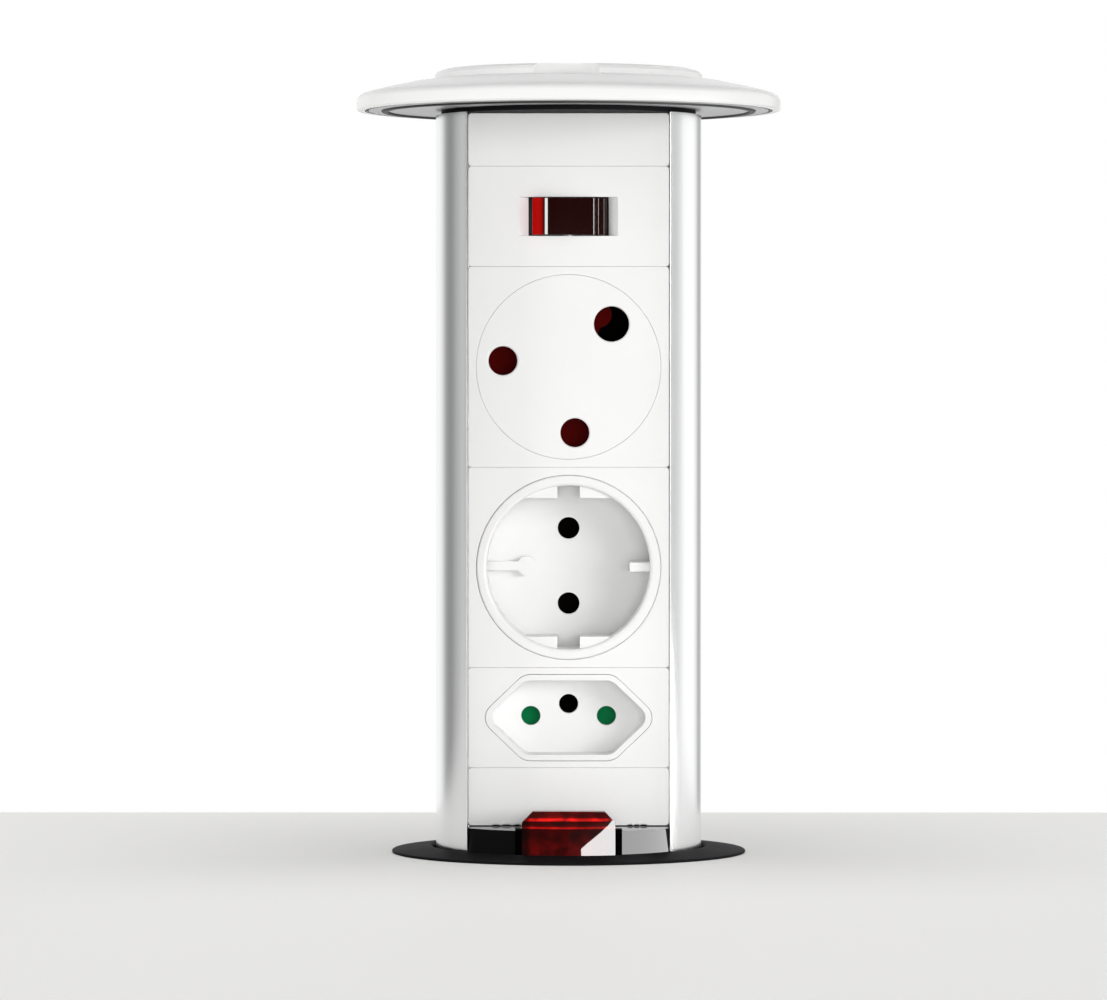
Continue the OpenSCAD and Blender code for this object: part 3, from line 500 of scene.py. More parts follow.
def pick(piece, test):
    """Starts to edit a piece, with only the points selected that pass a test in millimetres."""
    bpy.ops.object.select_all(action="DESELECT")
    bpy.context.view_layer.objects.active = piece
    piece.select_set(True)
    for parts in (piece.data.polygons, piece.data.edges):
        parts.foreach_set("select", [False] * len(parts))
    for vertex in piece.data.vertices:
        vertex.select = test(vertex.co / MM)
    bpy.ops.object.mode_set(mode="EDIT")
    bpy.ops.mesh.select_mode(type="VERT")


bpy.ops.mesh.primitive_plane_add(size=1, rotation=(math.pi / 2, 0, 0), scale=(ridge_depth, ridge_root, 1))
thread = bpy.context.active_object
thread.name = "thread"
bpy.ops.object.transform_apply(location=True, rotation=True, scale=True)
pick(thread, lambda point: point.x > 0)
bpy.ops.transform.resize(value=(1, 1, crest_share), center_override=(0, 0, 0))
bpy.ops.mesh.select_all(action="SELECT")
bpy.ops.transform.resize(value=(MM, MM, MM), center_override=(0, 0, 0))
bpy.ops.transform.translate(value=(ridge_r * MM, 0, thread_low * MM))
bpy.ops.object.mode_set(mode="OBJECT")
sweep = thread.modifiers.new("sweep", "SCREW")
sweep.axis = "Z"
sweep.screw_offset = thread_pitch * MM
sweep.iterations = thread_turns
sweep.steps = steps_a_turn
sweep.render_steps = steps_a_turn
bpy.ops.object.modifier_apply(modifier=sweep.name)
pick(thread, lambda point: True)
bpy.ops.mesh.remove_doubles(threshold=0.001 * MM)
bpy.ops.mesh.fill_holes(sides=0)
bpy.ops.mesh.normals_make_consistent(inside=False)
bpy.ops.object.mode_set(mode="OBJECT")
soften(thread, 0.15, 2)
placed(thread, black_matt, "collar", "black_satin")


# Clamp washer and ring nut
# A plated steel ring bears on the underside of the desk. The black nut below it has six lugs for the hand.
def worn_metal():
    """A node group for metal: lines drawn along Z, with a little change of tint and gloss."""
    group, given, result, shade, gloss = effect_group("drawn_metal", 0.95)
    nodes, links = group.nodes, group.links
    place = nodes.new("ShaderNodeTexCoord")
    drawn = nodes.new("ShaderNodeMapping")
    drawn.inputs["Scale"].default_value = (1, 1, 0.012)
    lines = nodes.new("ShaderNodeTexNoise")
    lines.inputs["Detail"].default_value = 3
    clouds = nodes.new("ShaderNodeTexNoise")
    clouds.inputs["Scale"].default_value = 30
    links.new(place.outputs["Object"], drawn.inputs["Vector"])
    links.new(drawn.outputs[0], lines.inputs["Vector"])
    links.new(given.outputs["Grain"], lines.inputs["Scale"])
    links.new(place.outputs["Object"], clouds.inputs["Vector"])
    links.new(lines.outputs["Fac"], shade.inputs["Value"])
    links.new(clouds.outputs["Fac"], gloss.inputs["Value"])
    links.new(lines.outputs["Fac"], result.inputs["Height"])
    return group


metal = worn_metal()
steel = surface("plated_steel", metal, (0.62, 0.63, 0.65), 0.3, 1200, 0.003, ("Metallic", 1))

washer_low, washer_high = -27.5, -25
washer_bore, washer_r = 39.8, 49
washer = turned("washer", [
    (washer_bore, washer_low), (washer_r, washer_low), (washer_r, washer_high), (washer_bore, washer_high)])
soften(washer, 0.4)
placed(washer, steel, "washer", "steel", "clamp_washer")

nut_low, nut_high = -39.5, washer_low
nut_bore, nut_r, lug_r = 39.1, 45, 49.5
lugs = 6
nut = turned("ring_nut", [(nut_bore, nut_low), (nut_r, nut_low), (nut_r, nut_high), (nut_bore, nut_high)])
for lug in range(lugs):
    grip = block("lug", (nut_r - 3, -5, nut_low), (lug_r, 5, nut_high - 2))
    grip.rotation_euler.z = lug * 2 * math.pi / lugs
    bpy.ops.object.transform_apply(location=True, rotation=True, scale=True)
    joined(nut, grip, "UNION")
soften(nut, 0.6)
placed(nut, black_matt, "nut", "black_satin", "clamp_nut")


# Tower profile
# One length of extruded aluminium, satin anodised, with a channel down the front for the inserts.
# The saw cuts at its ends are closed by caps, and a key groove runs down its back.
tower_low, tower_high = -50.3, 185.2
tower_r = 33.4
hollow_r = 31.2
hollow_half = 24.6
hollow_front = -11.6
beyond = 10
# the front channel, the groove for the edges of the plates and the key groove, each from corner to corner
grooves = [((-25.2, -40), (25.2, -11.4)), ((-26.3, -13.1), (26.3, -11.4)), ((-1.9, 30.6), (1.9, 40))]

aluminium = surface("satin_aluminium", metal, (0.92, 0.925, 0.93), 0.2, 1800, 0.0012, ("Metallic", 1))

tower = bar("tower", tower_r, (0, 0, tower_low), (0, 0, tower_high), 256)
cavity = bar("cavity", hollow_r, (0, 0, tower_low - beyond), (0, 0, tower_high + beyond), 192)
slice_off(cavity, (hollow_half, 0, 0), (1, 0, 0))
slice_off(cavity, (-hollow_half, 0, 0), (-1, 0, 0))
slice_off(cavity, (0, hollow_front, 0), (0, -1, 0))
rib = block("rib", (-4.5, 28.2, tower_low - 2 * beyond), (4.5, 40, tower_high + 2 * beyond))
joined(cavity, rib, "DIFFERENCE")
joined(tower, cavity, "DIFFERENCE")
for low, high in grooves:
    groove = block("groove", (*low, tower_low - beyond), (*high, tower_high + beyond))
    joined(tower, groove, "DIFFERENCE")
soften(tower, 0.1)
placed(tower, aluminium, "tower", "aluminium", "tower_profile")

# the photograph has no shade on the plates beside the profile, so two lamps shine past its edges
unshaded = bpy.data.collections.new("unshaded")
for lamp in (front_light, right_light):
    lamp.light_linking.blocker_collection = unshaded


def shine_past(piece):
    """Keeps a piece from throwing a shade in the light of the two lamps."""
    unshaded.objects.link(piece)
    unshaded.collection_objects[-1].light_linking.link_state = "EXCLUDE"


shine_past(tower)


# Blank plates
# White moulded plates that slide down the profile's grooves; the lower one has six vents in its bottom edge.
face_y = -14
plate_back = -11.5
plate_half = 25
plate_edge = 0.1
seam = 0.02

white_insert = surface(
    "white_insert", plastic, (0.84, 0.84, 0.835), 0.3, 1500, 0.004, ("Specular IOR Level", 0.1))


def rounded(piece, test, width, steps=4):
    """Rounds the edges of a piece whose two ends, in millimetres, pass a test."""
    pick(piece, lambda point: False)
    bpy.ops.mesh.select_mode(type="EDGE")
    bpy.ops.object.mode_set(mode="OBJECT")
    points = [vertex.co / MM for vertex in piece.data.vertices]
    for edge in piece.data.edges:
        edge.select = test(points[edge.vertices[0]], points[edge.vertices[1]])
    bpy.ops.object.mode_set(mode="EDIT")
    bpy.ops.mesh.bevel(offset=width * MM, segments=steps, affect="EDGES", clamp_overlap=True)
    bpy.ops.mesh.select_mode(type="VERT")
    bpy.ops.object.mode_set(mode="OBJECT")
    return piece


def insert_plate(name, low, height):
    """A plate as wide as the channel, with its corners rounded as the cutter leaves them."""
    plate = block(name, (-plate_half, face_y, low + seam), (plate_half, plate_back, low + height - seam))
    return rounded(plate, lambda a, b: abs(a.y - b.y) > 1, 0.8)


top_blank = insert_plate("top_blank_plate", 172, 13.2)
soften(top_blank, plate_edge)
placed(top_blank, white_insert, "tower", "white_insert", "top_blank")

vents = [(-18.9, -17.3), (-16.4, -14.6), (-13.5, -12.2), (14.8, 15.9), (16.4, 17.5), (18.0, 19.5)]
bottom_blank = insert_plate("bottom_blank_plate", 7.6, 14.4)
for left, right in vents:
    joined(bottom_blank, block("vent", (left, face_y - 1, 7), (right, -12.5, 7.95)), "DIFFERENCE")
soften(bottom_blank, plate_edge)
placed(bottom_blank, white_insert, "tower", "white_insert", "bottom_blank")


# Breaker
# A white plate whose window slopes in to a dark red rocker; the sealed body is behind it.
# The rocker looks like see-through red plastic, with a polished, hollowed front; its left end has a painted
# glow of light shining through it. It is drawn on.
breaker_z = 159.5
window_wide = 10
window_tall = 4.85
window_flare = 1.25

breaker_plate = insert_plate("breaker_face", 147, 25)
window_low, window_high = breaker_z - window_tall, breaker_z + window_tall
opening = block("opening", (-window_wide, -12, window_low), (window_wide, -10, window_high))
joined(breaker_plate, opening, "DIFFERENCE")
slope = block("slope", (-window_wide, face_y - 0.2, window_low), (window_wide, -11.7, window_high))
pick(slope, lambda point: point.y < face_y)
bpy.ops.transform.resize(value=(window_flare, 1, 1), center_override=(0, 0, 0))
bpy.ops.object.mode_set(mode="OBJECT")
joined(breaker_plate, slope, "DIFFERENCE")
soften(breaker_plate, plate_edge)
placed(breaker_plate, white_insert, "tower", "white_insert", "breaker_plate")

deep_red = (0.012, 0.0003, 0.0003)
# a bright red painted on the rocker's left end: a painted glow for light shining through the plastic
painted_glow_red = (0.4, 0.002, 0.001)
rocker_red = surface(
    "rocker_red", plastic, deep_red, 0.08, 300, 0.002,
    ("Specular IOR Level", 0.1), ("Coat Weight", 0.6), ("Coat Roughness", 0.04))
nodes, links = rocker_red.node_tree.nodes, rocker_red.node_tree.links
# painted glow: the left end of the rocker is painted bright red, as if light shone through it
place = nodes.new("ShaderNodeTexCoord")
across = nodes.new("ShaderNodeSeparateXYZ")
painted_glow_end = nodes.new("ShaderNodeMapRange")
painted_glow_end.inputs["From Min"].default_value = -6.0 * MM
painted_glow_end.inputs["From Max"].default_value = -7.2 * MM
painted_glow_mix = nodes.new("ShaderNodeMix")
painted_glow_mix.data_type = "RGBA"
painted_glow_mix.inputs["A"].default_value = (*deep_red, 1)
painted_glow_mix.inputs["B"].default_value = (*painted_glow_red, 1)
links.new(place.outputs["Object"], across.inputs[0])
links.new(across.outputs["X"], painted_glow_end.inputs["Value"])
links.new(painted_glow_end.outputs[0], painted_glow_mix.inputs["Factor"])
links.new(painted_glow_mix.outputs["Result"], nodes["Group"].inputs["Color"])

pivot_y = -8.5
rocker_front, rocker_back = -15.5, -7.5
rocker_left, rocker_right = -9.8, 9.1
rocker_half = 4.6
slim_from = 1.9
slim_by = 0.8
on_angle = -6
# how far the front is sunk at each place across
sunk = {-8.9: 0.0, -6.7: 0.0, -5.9: 0.45, 5.5: 0.45, 6.9: 1.2, 8.3: 1.4, rocker_left: 0.2, rocker_right: 2.1}

rocker = block(
    "rocker", (rocker_left, rocker_front, breaker_z - rocker_half),
    (rocker_right, rocker_back, breaker_z + rocker_half))
bpy.ops.object.mode_set(mode="EDIT")
for at in sunk:
    bpy.ops.mesh.select_all(action="SELECT")
    bpy.ops.mesh.bisect(plane_co=(at * MM, 0, 0), plane_no=(1, 0, 0))
bpy.ops.object.mode_set(mode="OBJECT")
for at, depth in sunk.items():
    pick(rocker, lambda point: point.y < rocker_front + 0.1 and abs(point.x - at) < 0.05)
    bpy.ops.transform.translate(value=(0, depth * MM, 0))
    bpy.ops.object.mode_set(mode="OBJECT")
# the left side is slimmer behind the front, so that it clears the window when the rocker tilts
bpy.ops.object.mode_set(mode="EDIT")
bpy.ops.mesh.select_all(action="SELECT")
bpy.ops.mesh.bisect(plane_co=(0, (rocker_front + slim_from) * MM, 0), plane_no=(0, 1, 0))
bpy.ops.object.mode_set(mode="OBJECT")
pick(rocker, lambda point: point.y > rocker_front + slim_from - 0.1 and point.x < rocker_left + 0.05)
bpy.ops.transform.translate(value=(slim_by * MM, 0, 0))
bpy.ops.object.mode_set(mode="OBJECT")
pick(rocker, lambda point: True)
pivot = (0, pivot_y * MM, breaker_z * MM)
bpy.ops.transform.rotate(value=math.radians(on_angle), orient_axis="Z", center_override=pivot)
bpy.ops.object.mode_set(mode="OBJECT")
soften(rocker, 0.25, 3, 20)
placed(rocker, rocker_red, "rocker", "rocker_red", "breaker_rocker")
shine_past(rocker)

dark_moulding = surface("dark_moulding", plastic, (0.045, 0.045, 0.048), 0.45, 900, 0.01)
brass = surface("brass", metal, (0.72, 0.5, 0.2), 0.28, 900, 0.002, ("Metallic", 1))
dressed(dark_moulding, "breaker_body")
dressed(brass, "breaker_blades")
dressed(steel, "rocker_pin")


# Three-pin socket
# A square white plate with a round insert let in flush. Its three holes are closed by one red shutter,
# which turns on a post; the brass sleeves and their housing are behind it.
three_z = 122
three_holes = [((10.71, 10.71), 4.4), ((-16.4, 1.56), 3.6), ((1.56, -16.4), 3.6)]
disc_r = 23
disc_gap = 0.05
hole_round = 0.45
ahead = -20

three_plate = insert_plate("three_pin_face", 97, 50)
ring = bar("ring", disc_r + disc_gap, (0, ahead, three_z), (0, 0, three_z), 192)
joined(three_plate, ring, "DIFFERENCE")
soften(three_plate, plate_edge)
placed(three_plate, white_insert, "tower", "white_insert", "three_pin_plate")

three_disc = bar("three_pin_insert", disc_r, (0, face_y, three_z), (0, -9.5, three_z), 192)
for (x, z), radius in three_holes:
    hole = bar("hole", radius, (x, ahead, three_z + z), (x, 0, three_z + z), 64)
    joined(three_disc, hole, "DIFFERENCE")
rounded(
    three_disc,
    lambda a, b: a.y + b.y < 2 * face_y + 0.1 and math.hypot(a.x, a.z - three_z) < disc_r - 1, hole_round)
soften(three_disc, plate_edge)
placed(three_disc, white_insert, "tower", "white_insert", "three_pin_disc")

no_glare = ("Specular IOR Level", 0.02)
shutter_red = surface("shutter_red", plastic, (0.055, 0.0004, 0.0004), 0.35, 600, 0.004, no_glare)
pale_moulding = surface("pale_moulding", plastic, (0.7, 0.7, 0.67), 0.4, 900, 0.008)
# the brass contacts are painted almost black and not metallic: painted shade for the deep holes they sit in
painted_shade_brass = surface("painted_shade_brass", metal, (0.004, 0.003, 0.002), 0.6, 900, 0.002, no_glare)
dressed(shutter_red, "three_pin_shutter")
dressed(steel, "three_pin_spring")
dressed(pale_moulding, "three_pin_housing")
dressed(painted_shade_brass, "three_pin_contacts")


# Round-well socket
# A square white plate and a deep round cup with key blocks at its top and bottom.
# The earth clips at its sides sit in white guides, a long one with a round end and a short tall one.
well_z = 72
well_r = 20.4
well_floor = 3.5
well_gap = 0.06
cup_r = 21.8
rim_proud = 0.35
key_front = -13
pin_r = 2.75
pin_apart = 19
slot_half = 1.15

well_plate = insert_plate("well_face", 47, 50)
ring = bar("ring", disc_r + well_gap, (0, ahead, well_z), (0, 0, well_z), 192)
joined(well_plate, ring, "DIFFERENCE")
soften(well_plate, plate_edge)
placed(well_plate, white_insert, "tower", "white_insert", "well_plate")

cup = bar("well", disc_r, (0, face_y - rim_proud, well_z), (0, plate_back, well_z), 192)
joined(cup, bar("body", cup_r, (0, plate_back - 1, well_z), (0, well_floor + 2.5, well_z), 192), "UNION")
joined(cup, bar("hollow", well_r, (0, ahead, well_z), (0, well_floor, well_z), 192), "DIFFERENCE")
rounded(cup, lambda a, b: max(a.y, b.y) < face_y and math.hypot(a.x, a.z - well_z) < 21, 1.0)
rounded(cup, lambda a, b: max(a.y, b.y) < face_y and math.hypot(a.x, a.z - well_z) > 22.5, 0.5)
for top in (-1, 1):
    for left in (-1, 1):
        near, far = sorted((2.8 * left, 20 * left))
        low, high = sorted((well_z + 17.3 * top, well_z + 22 * top))
        key = block("key", (near, key_front, low), (far, well_floor + 1, high))
        joined(key, bar("limit", well_r + 0.5, (0, ahead, well_z), (0, 20, well_z), 192), "INTERSECT")
        rounded(key, lambda a, b: max(a.y, b.y) < key_front + 0.1, 0.5)
        joined(cup, key, "UNION")
for side in (-1, 1):
    pin_z = well_z + pin_apart / 2 * side
    joined(cup, bar("hole", pin_r, (0, 0, pin_z), (0, 10, pin_z), 64), "DIFFERENCE")
    near, far = sorted((18.8 * side, 23.2 * side))
    slot = block("slot", (near, -9, well_z - slot_half), (far, 10, well_z + slot_half))
    joined(cup, slot, "DIFFERENCE")
soften(cup, 0.2)
placed(cup, white_insert, "tower", "white_insert", "well_cup")

guide_half = 1.1
guide_out = 20.6
guide_back = 3.6
head_x = -10.6
guides = block(
    "earth_guides", (-guide_out, 0.3, well_z - guide_half), (head_x, guide_back, well_z + guide_half))
joined(guides, bar("head", 2.4, (head_x, 0.9, well_z), (head_x, guide_back, well_z), 64), "UNION")
tall = block("tall", (15.3, -11, well_z - guide_half), (guide_out, guide_back, well_z + guide_half))
joined(guides, tall, "UNION")
soften(guides, 0.15)
placed(guides, white_insert, "tower", "white_insert", "side_earth_clips")
dressed(pale_moulding, "well_housing")
dressed(painted_shade_brass, "well_contacts")


# Hexagonal socket
# A white plate with a six-sided recess. Two of its three holes show the green shutter that closes them.
hex_z = 34.5
hex_floor = -4
hex_holes = [(-9.5, 0), (9.5, 0), (0, 3)]


def hexagon(name, width, height, radius, front, back):
    """A long six-sided bar with rounded corners, lying along Y."""
    tip = width / 2 + 0.45 * radius
    flat = tip - height / 2 * 1.05
    upright = math.sqrt(3) / 2
    facing = (math.pi / 2, math.pi / 6, 0)
    bpy.ops.mesh.primitive_circle_add(vertices=6, radius=MM, fill_type="NGON", rotation=facing)
    piece = bpy.context.active_object
    piece.name = name
    bpy.ops.object.transform_apply(location=True, rotation=True, scale=True)
    pick(piece, lambda point: abs(point.z) > 0.1)
    bpy.ops.transform.resize(value=(2 * flat, 1, height / 2 / upright), center_override=(0, 0, 0))
    bpy.ops.object.mode_set(mode="OBJECT")
    pick(piece, lambda point: abs(point.z) < 0.1)
    bpy.ops.transform.resize(value=(tip, 1, 1), center_override=(0, 0, 0))
    bpy.ops.mesh.bevel(offset=1.05 * radius * MM, segments=8, affect="VERTICES")
    bpy.ops.object.mode_set(mode="OBJECT")
    pick(piece, lambda point: abs(point.z) > height / 2 - 0.01)
    bpy.ops.mesh.bevel(offset=0.4 * radius * MM, segments=8, affect="VERTICES")
    bpy.ops.mesh.select_all(action="SELECT")
    bpy.ops.transform.translate(value=(0, front * MM, hex_z * MM))
    bpy.ops.mesh.extrude_region_move(TRANSFORM_OT_translate={"value": (0, (back - front) * MM, 0)})
    bpy.ops.mesh.select_all(action="SELECT")
    bpy.ops.mesh.normals_make_consistent(inside=False)
    bpy.ops.object.mode_set(mode="OBJECT")
    return piece


hex_plate = insert_plate("hex_face", 22, 25)
joined(hex_plate, hexagon("ring", 41.7, 21.7, 4, ahead, 0), "DIFFERENCE")
soften(hex_plate, plate_edge)
placed(hex_plate, white_insert, "tower", "white_insert", "hex_plate")

hex_cup = hexagon("hex_recess", 41.5, 21.5, 4, face_y, hex_floor + 2.5)
joined(hex_cup, hexagon("hollow", 38.3, 18.5, 3, ahead, hex_floor), "DIFFERENCE")
for x, z in hex_holes:
    hole = bar("hole", 2.4, (x, hex_floor - 2, hex_z + z), (x, 2, hex_z + z), 64)
    joined(hex_cup, hole, "DIFFERENCE")
soften(hex_cup, 0.3)
placed(hex_cup, white_insert, "tower", "white_insert", "hex_cup")

shutter_green = surface("shutter_green", plastic, (0.002, 0.16, 0.05), 0.35, 600, 0.004, no_glare)
dressed(shutter_green, "hex_shutter")
dressed(steel, "hex_spring")
dressed(pale_moulding, "hex_housing")
dressed(painted_shade_brass, "hex_contacts")


# Wiring
# Three brass bars run up the back of the tower from a terminal block for the supply cable.
dressed(brass, "live_bar", "neutral_bar", "earth_bar")
dressed(pale_moulding, "terminal_block")
dressed(steel, "terminal_screws")


# Lock block and release latch
# A polished black block fills the foot of the channel. The deep red latch turns on a pin in its pocket,
# and a bent steel leaf behind it holds it out and reaches into the collar's pockets.
lock_half = 25.1
lock_back = -21

# only the front and the top of the block are polished, so its pocket stays dark
black_gloss = surface(
    "black_gloss", plastic, (0.004, 0.004, 0.0045), 0.07, 60, 0.004,
    ("Specular IOR Level", 0), ("Coat Roughness", 0.05))
nodes, links = black_gloss.node_tree.nodes, black_gloss.node_tree.links
place = nodes.new("ShaderNodeTexCoord")
flat = nodes.new("ShaderNodeVectorMath")
flat.operation = "MULTIPLY"
flat.inputs[1].default_value = (1, 1, 0)
reach = nodes.new("ShaderNodeVectorMath")
reach.operation = "LENGTH"
outer = nodes.new("ShaderNodeMath")
outer.operation = "GREATER_THAN"
outer.inputs[1].default_value = 31.2 * MM
height = nodes.new("ShaderNodeSeparateXYZ")
upper = nodes.new("ShaderNodeMath")
upper.operation = "GREATER_THAN"
upper.inputs[1].default_value = 7.2 * MM
polished = nodes.new("ShaderNodeMath")
polished.operation = "MAXIMUM"
links.new(place.outputs["Object"], flat.inputs[0])
links.new(flat.outputs[0], reach.inputs[0])
links.new(reach.outputs["Value"], outer.inputs[0])
links.new(place.outputs["Object"], height.inputs[0])
links.new(height.outputs["Z"], upper.inputs[0])
links.new(outer.outputs[0], polished.inputs[0])
links.new(upper.outputs[0], polished.inputs[1])
links.new(polished.outputs[0], nodes["Principled BSDF"].inputs["Coat Weight"])

lock_outline = [(tower_r, tower_low), (tower_r, -1.5), (33.2, 0.5), (32.6, 7.45)]
lock = turned("lock_block", lock_outline, 256, False)
slice_off(lock, (lock_half, 0, 0), (1, 0, 0))
slice_off(lock, (-lock_half, 0, 0), (-1, 0, 0))
slice_off(lock, (0, plate_back, 0), (0, 1, 0))
joined(lock, block("pocket", (-channel_half, -40, -38), (channel_half, lock_back, 20)), "DIFFERENCE")
joined(lock, block("catch_slot", (-19, -40, -11), (19, lock_back, -5)), "DIFFERENCE")
soften(lock, 0.3)
placed(lock, black_gloss, "tower", "black_gloss", "lock_housing")

latch_half = 11.5
latch_top = 12.3
latch_back = -27.5
latch_pin_y, latch_pin_z = -27, -30
cut_corner = 2.6
# how strong the red is at each height: the plastic's own deep red, with bright bands of painted light where
# the cut faces of the clear plastic would bend the light
painted_band_light = [
    (0.0, 0.11), (3.0, 0.07), (6.5, 0.03), (8.1, 0.03), (8.4, 0.55), (8.75, 0.10), (9.2, 0.035), (9.9, 0.04),
    (10.2, 0.80), (10.6, 0.60), (10.8, 0.12), (11.6, 0.06), (12.0, 0.08), (latch_top, 0.11),
]
latch_red = surface(
    "latch_red", plastic, (0.1, 0.002, 0.002), 0.3, 120, 0.002, ("Specular IOR Level", 0),
    ("Coat Weight", 1), ("Coat IOR", 1.85), ("Coat Roughness", 0.02))
nodes, links = latch_red.node_tree.nodes, latch_red.node_tree.links
# the latch's red is set by height, with painted light in bright bands
place = nodes.new("ShaderNodeTexCoord")
height = nodes.new("ShaderNodeSeparateXYZ")
share = nodes.new("ShaderNodeMapRange")
share.inputs["From Max"].default_value = latch_top * MM
painted_bands = nodes.new("ShaderNodeValToRGB")
set_stops(painted_bands.color_ramp, [(at / latch_top, (red, 0.012 * red, 0.01 * red)) for at, red in painted_band_light])
clouds = nodes.new("ShaderNodeTexNoise")
clouds.inputs["Scale"].default_value = 320
uneven = nodes.new("ShaderNodeMapRange")
uneven.inputs["From Min"].default_value = 0.35
uneven.inputs["From Max"].default_value = 0.65
uneven.inputs["To Min"].default_value = 0.5
uneven.inputs["To Max"].default_value = 1.5
depth = nodes.new("ShaderNodeVectorMath")
depth.operation = "SCALE"
# painted shade: the red is darker towards both sides of the latch; the clouds also vary it at random across
# the face
aside = nodes.new("ShaderNodeMath")
aside.operation = "ABSOLUTE"
ends = nodes.new("ShaderNodeMapRange")
ends.inputs["From Min"].default_value = 9.2 * MM
ends.inputs["From Max"].default_value = 10.2 * MM
ends.inputs["To Min"].default_value = 1
ends.inputs["To Max"].default_value = 0.3
strength = nodes.new("ShaderNodeMath")
strength.operation = "MULTIPLY"
links.new(place.outputs["Object"], height.inputs[0])
links.new(place.outputs["Object"], clouds.inputs["Vector"])
links.new(height.outputs["X"], aside.inputs[0])
links.new(aside.outputs[0], ends.inputs["Value"])
links.new(height.outputs["Z"], share.inputs["Value"])
links.new(share.outputs[0], painted_bands.inputs[0])
links.new(clouds.outputs["Fac"], uneven.inputs["Value"])
links.new(painted_bands.outputs["Color"], depth.inputs[0])
links.new(uneven.outputs[0], strength.inputs[0])
links.new(ends.outputs[0], strength.inputs[1])
links.new(strength.outputs[0], depth.inputs["Scale"])
links.new(depth.outputs[0], nodes["Group"].inputs["Color"])

latch = block("latch", (-latch_half, -36.6, -2), (latch_half, latch_back, latch_top))
slice_off(latch, (0, -34.3, 8.5), (0, -1.9, 0.9))
slice_off(latch, (0, -33.2, 10.8), (0, -1.5, 1.8))
for side in (-1, 1):
    slice_off(latch, (side * latch_half, 0, latch_top - cut_corner), (side, 0, 1))
stem = block("stem", (-latch_half, -30.9, -26), (latch_half, latch_back, -1.5))
joined(latch, stem, "UNION")
pin_left = (-latch_half, latch_pin_y, latch_pin_z)
pin_right = (latch_half, latch_pin_y, latch_pin_z)
hub = bar("hub", 3.6, pin_left, pin_right, 64)
joined(hub, block("arm", (-latch_half, -29.6, latch_pin_z), (latch_half, -24.4, -24)), "UNION")
joined(latch, hub, "UNION")
pin_hole = bar("pin_hole", 1.75, (-20, latch_pin_y, latch_pin_z), (20, latch_pin_y, latch_pin_z), 48)
joined(latch, pin_hole, "DIFFERENCE")
latch_bow = [
    (35.6, -60), (35.6, -0.5), (35.48, 1.5), (35.31, 3), (35.09, 4.5), (34.82, 6), (34.49, 7.5), (34.11, 9),
    (33.68, 10.5), (33.19, 12), (32.6, 13.5),
]
joined(latch, turned("front", latch_bow, 256, False), "INTERSECT")
soften(latch, 0.3)
placed(latch, latch_red, "latch", "latch_red", "release_latch")
dressed(steel, "latch_pin", "catch_spring")


# Lid
# A black neck, a grey base plate with a rubber ring let into its underside, and a domed white cover.
# The cover has a raised disc with a scoop for the finger at its front edge.
lid_z = 186.4
middle_r = 4
neck_r = 32
base_r = 50.3
base_high = lid_z + 2
ring_in, ring_out = 45.2, 47.1
ring_top = lid_z + 1

neck = turned("neck", [(middle_r, tower_high), (neck_r, tower_high), (neck_r, lid_z), (middle_r, lid_z)])
soften(neck, 0.2)
placed(neck, black_satin, "tower", "black_satin", "top_cap")

grey_plastic = surface("grey_plastic", plastic, (0.36, 0.365, 0.37), 0.32, 1200, 0.006)
base = turned("lid_base", [
    (middle_r, lid_z), (ring_in, lid_z), (ring_in, ring_top), (ring_out, ring_top), (ring_out, lid_z),
    (base_r, lid_z), (base_r, base_high), (middle_r, base_high)])
soften(base, 0.06, 2)
placed(base, grey_plastic, "tower", "grey_plastic", "lid_plate")

rubber = surface("rubber", plastic, (0.012, 0.012, 0.012), 0.6, 900, 0.02)
seal = turned("seal", [
    (45.3, ring_top), (45.3, lid_z - 0.2), (45.6, lid_z - 0.45), (46.7, lid_z - 0.45), (47, lid_z - 0.2),
    (47, ring_top)])
soften(seal, 0.15, 2)
placed(seal, rubber, "tower", "rubber", "lid_seal")
dressed(steel, "lid_screws")

white_lid = surface(
    "white_lid", plastic, (0.84, 0.84, 0.835), 0.22, 1500, 0.003, ("Specular IOR Level", 0.15))
# a radius so small that the points on the axis merge
axis = 0.00005
dome = [
    (51.3, 0), (52.9, 0), (53.3, 0.4), (53.3, 2.5), (53.1, 3.1), (52.6, 3.7), (51.7, 4.25), (49.3, 4.9),
    (45.8, 5.75), (42.1, 6.5), (39.55, 7.05), (34.3, 7.7), (33.8, 7.7), (33.6, 9.0), (33.1, 9.65),
    (31.6, 10.2), (23.66, 10.6), (11.83, 10.8), (axis, 10.9), (axis, 6.1), (33.8, 5.7), (45.8, 3.75),
    (48.3, 3), (48.3, 2.01), (51.3, 2.01),
]
scoop_x, scoop_y = -0.5, -35.96
scoop_low, scoop_deep = lid_z + 7.1, 5
cover = turned("lid_cover", [(radius, lid_z + height) for radius, height in dome], 256)
bpy.ops.mesh.primitive_cone_add(
    vertices=96, radius1=8.5 * MM, radius2=9 * MM, depth=scoop_deep * MM,
    location=(scoop_x * MM, scoop_y * MM, (scoop_low + scoop_deep / 2) * MM))
scoop = bpy.context.active_object
bpy.ops.object.transform_apply(location=True, rotation=True, scale=True)
joined(cover, scoop, "DIFFERENCE")
soften(cover, 0.3, 3, 25)
placed(cover, white_lid, "tower", "white_lid", "lid_shell")


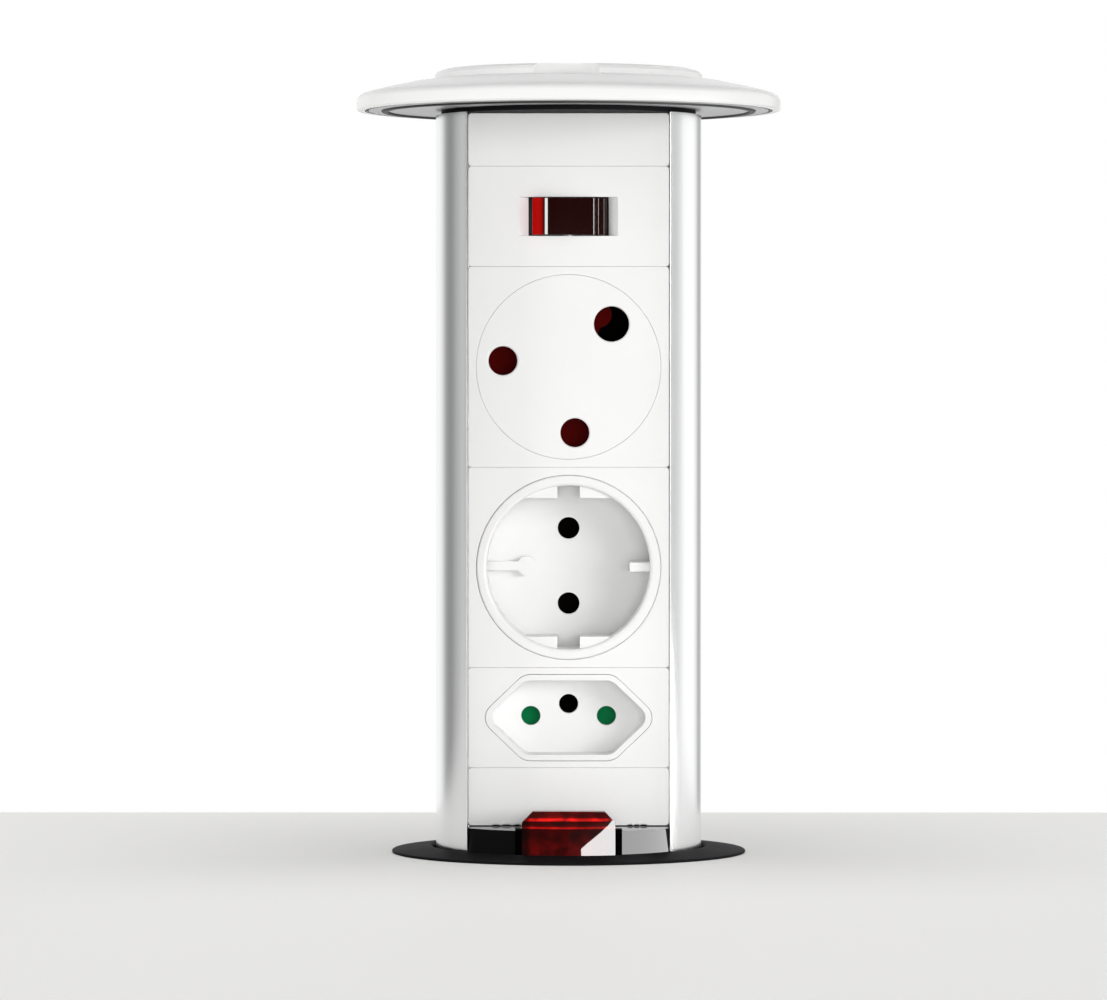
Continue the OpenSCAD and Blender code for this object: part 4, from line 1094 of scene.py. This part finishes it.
# Bottom cap and cable gland
# A black cap screwed to the profile from below stops the tower under the collar.
# The gland is moulded in dark plastic: a hexagon body, a rubber sleeve and a cap nut.
cap_low, cap_high = -54.3, tower_low
cap_r = 37.5
screw_places = [(29.4, 0), (-29.4, 0), (12.98, 26.38), (-12.98, 26.38), (18, -17), (-18, -17)]
gland_y = 8
gland_low = cap_low - 21
gland_r = 8
nut_cone = 8.7
hex_turn = math.pi / 6


def gland_bar(name, radius, low, high, sides=96, turn=0):
    """An upright bar on the axis of the gland."""
    return bar(name, radius, (0, gland_y, low), (0, gland_y, high), sides, turn)


cap = turned("bottom_plate", [(cap_r, cap_low), (cap_r, cap_high)], 192, False)
joined(cap, gland_bar("gland_hole", gland_r + 0.05, -60, -40), "DIFFERENCE")
for x, y in screw_places:
    joined(cap, bar("sink", 3.1, (x, y, -60), (x, y, cap_low + 1.3), 48), "DIFFERENCE")
soften(cap, 0.4)
placed(cap, black_matt, "tower", "black_satin", "bottom_cap")

heads = None
for x, y in screw_places:
    head = bar("screw_heads", 3, (x, y, cap_low + 0.05), (x, y, cap_low + 1.25), 48)
    for long, wide in ((1.9, 0.35), (0.35, 1.9)):
        cross = block("cross", (x - long, y - wide, cap_low - 1), (x + long, y + wide, cap_low + 0.8))
        joined(head, cross, "DIFFERENCE")
    heads = joined(heads, head, "UNION") if heads else head
soften(heads, 0.12, 2)
placed(heads, steel, "tower", "steel", "bottom_cap_screws", "lock_screws")

gland = gland_bar("gland_hexagon", 11.5, cap_low - 5, cap_low, 6, hex_turn)
joined(gland, gland_bar("neck", gland_r, cap_low - 11, cap_high + 11), "UNION")
joined(gland, gland_bar("way", 6.5, cap_low - 20, cap_high + 20), "DIFFERENCE")
soften(gland, 0.4)
placed(gland, dark_moulding, "tower", "dark_moulding", "gland_body")

cap_nut = gland_bar("gland_cap_nut", 11, gland_low + 8.6, gland_low + 15.6, 6, hex_turn)
bpy.ops.mesh.primitive_cone_add(
    vertices=96, radius1=8 * MM, radius2=9.6 * MM, depth=nut_cone * MM,
    location=(0, gland_y * MM, (gland_low + nut_cone / 2) * MM))
dome_end = bpy.context.active_object
bpy.ops.object.transform_apply(location=True, rotation=True, scale=True)
joined(cap_nut, dome_end, "UNION")
joined(cap_nut, gland_bar("mouth", 5.1, gland_low - 5, gland_low + 5), "DIFFERENCE")
joined(cap_nut, gland_bar("seat", 6.5, gland_low + 3.9, gland_low + 12), "DIFFERENCE")
joined(cap_nut, gland_bar("thread_room", gland_r + 0.05, gland_low + 9.6, gland_low + 20), "DIFFERENCE")
soften(cap_nut, 0.5)
placed(cap_nut, dark_moulding, "tower", "dark_moulding", "gland_nut")
dressed(rubber, "gland_seal")
dressed(dark_moulding, "gland_lock_nut")


# Closing
# The box of the finished looks, in metres.
low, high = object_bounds()
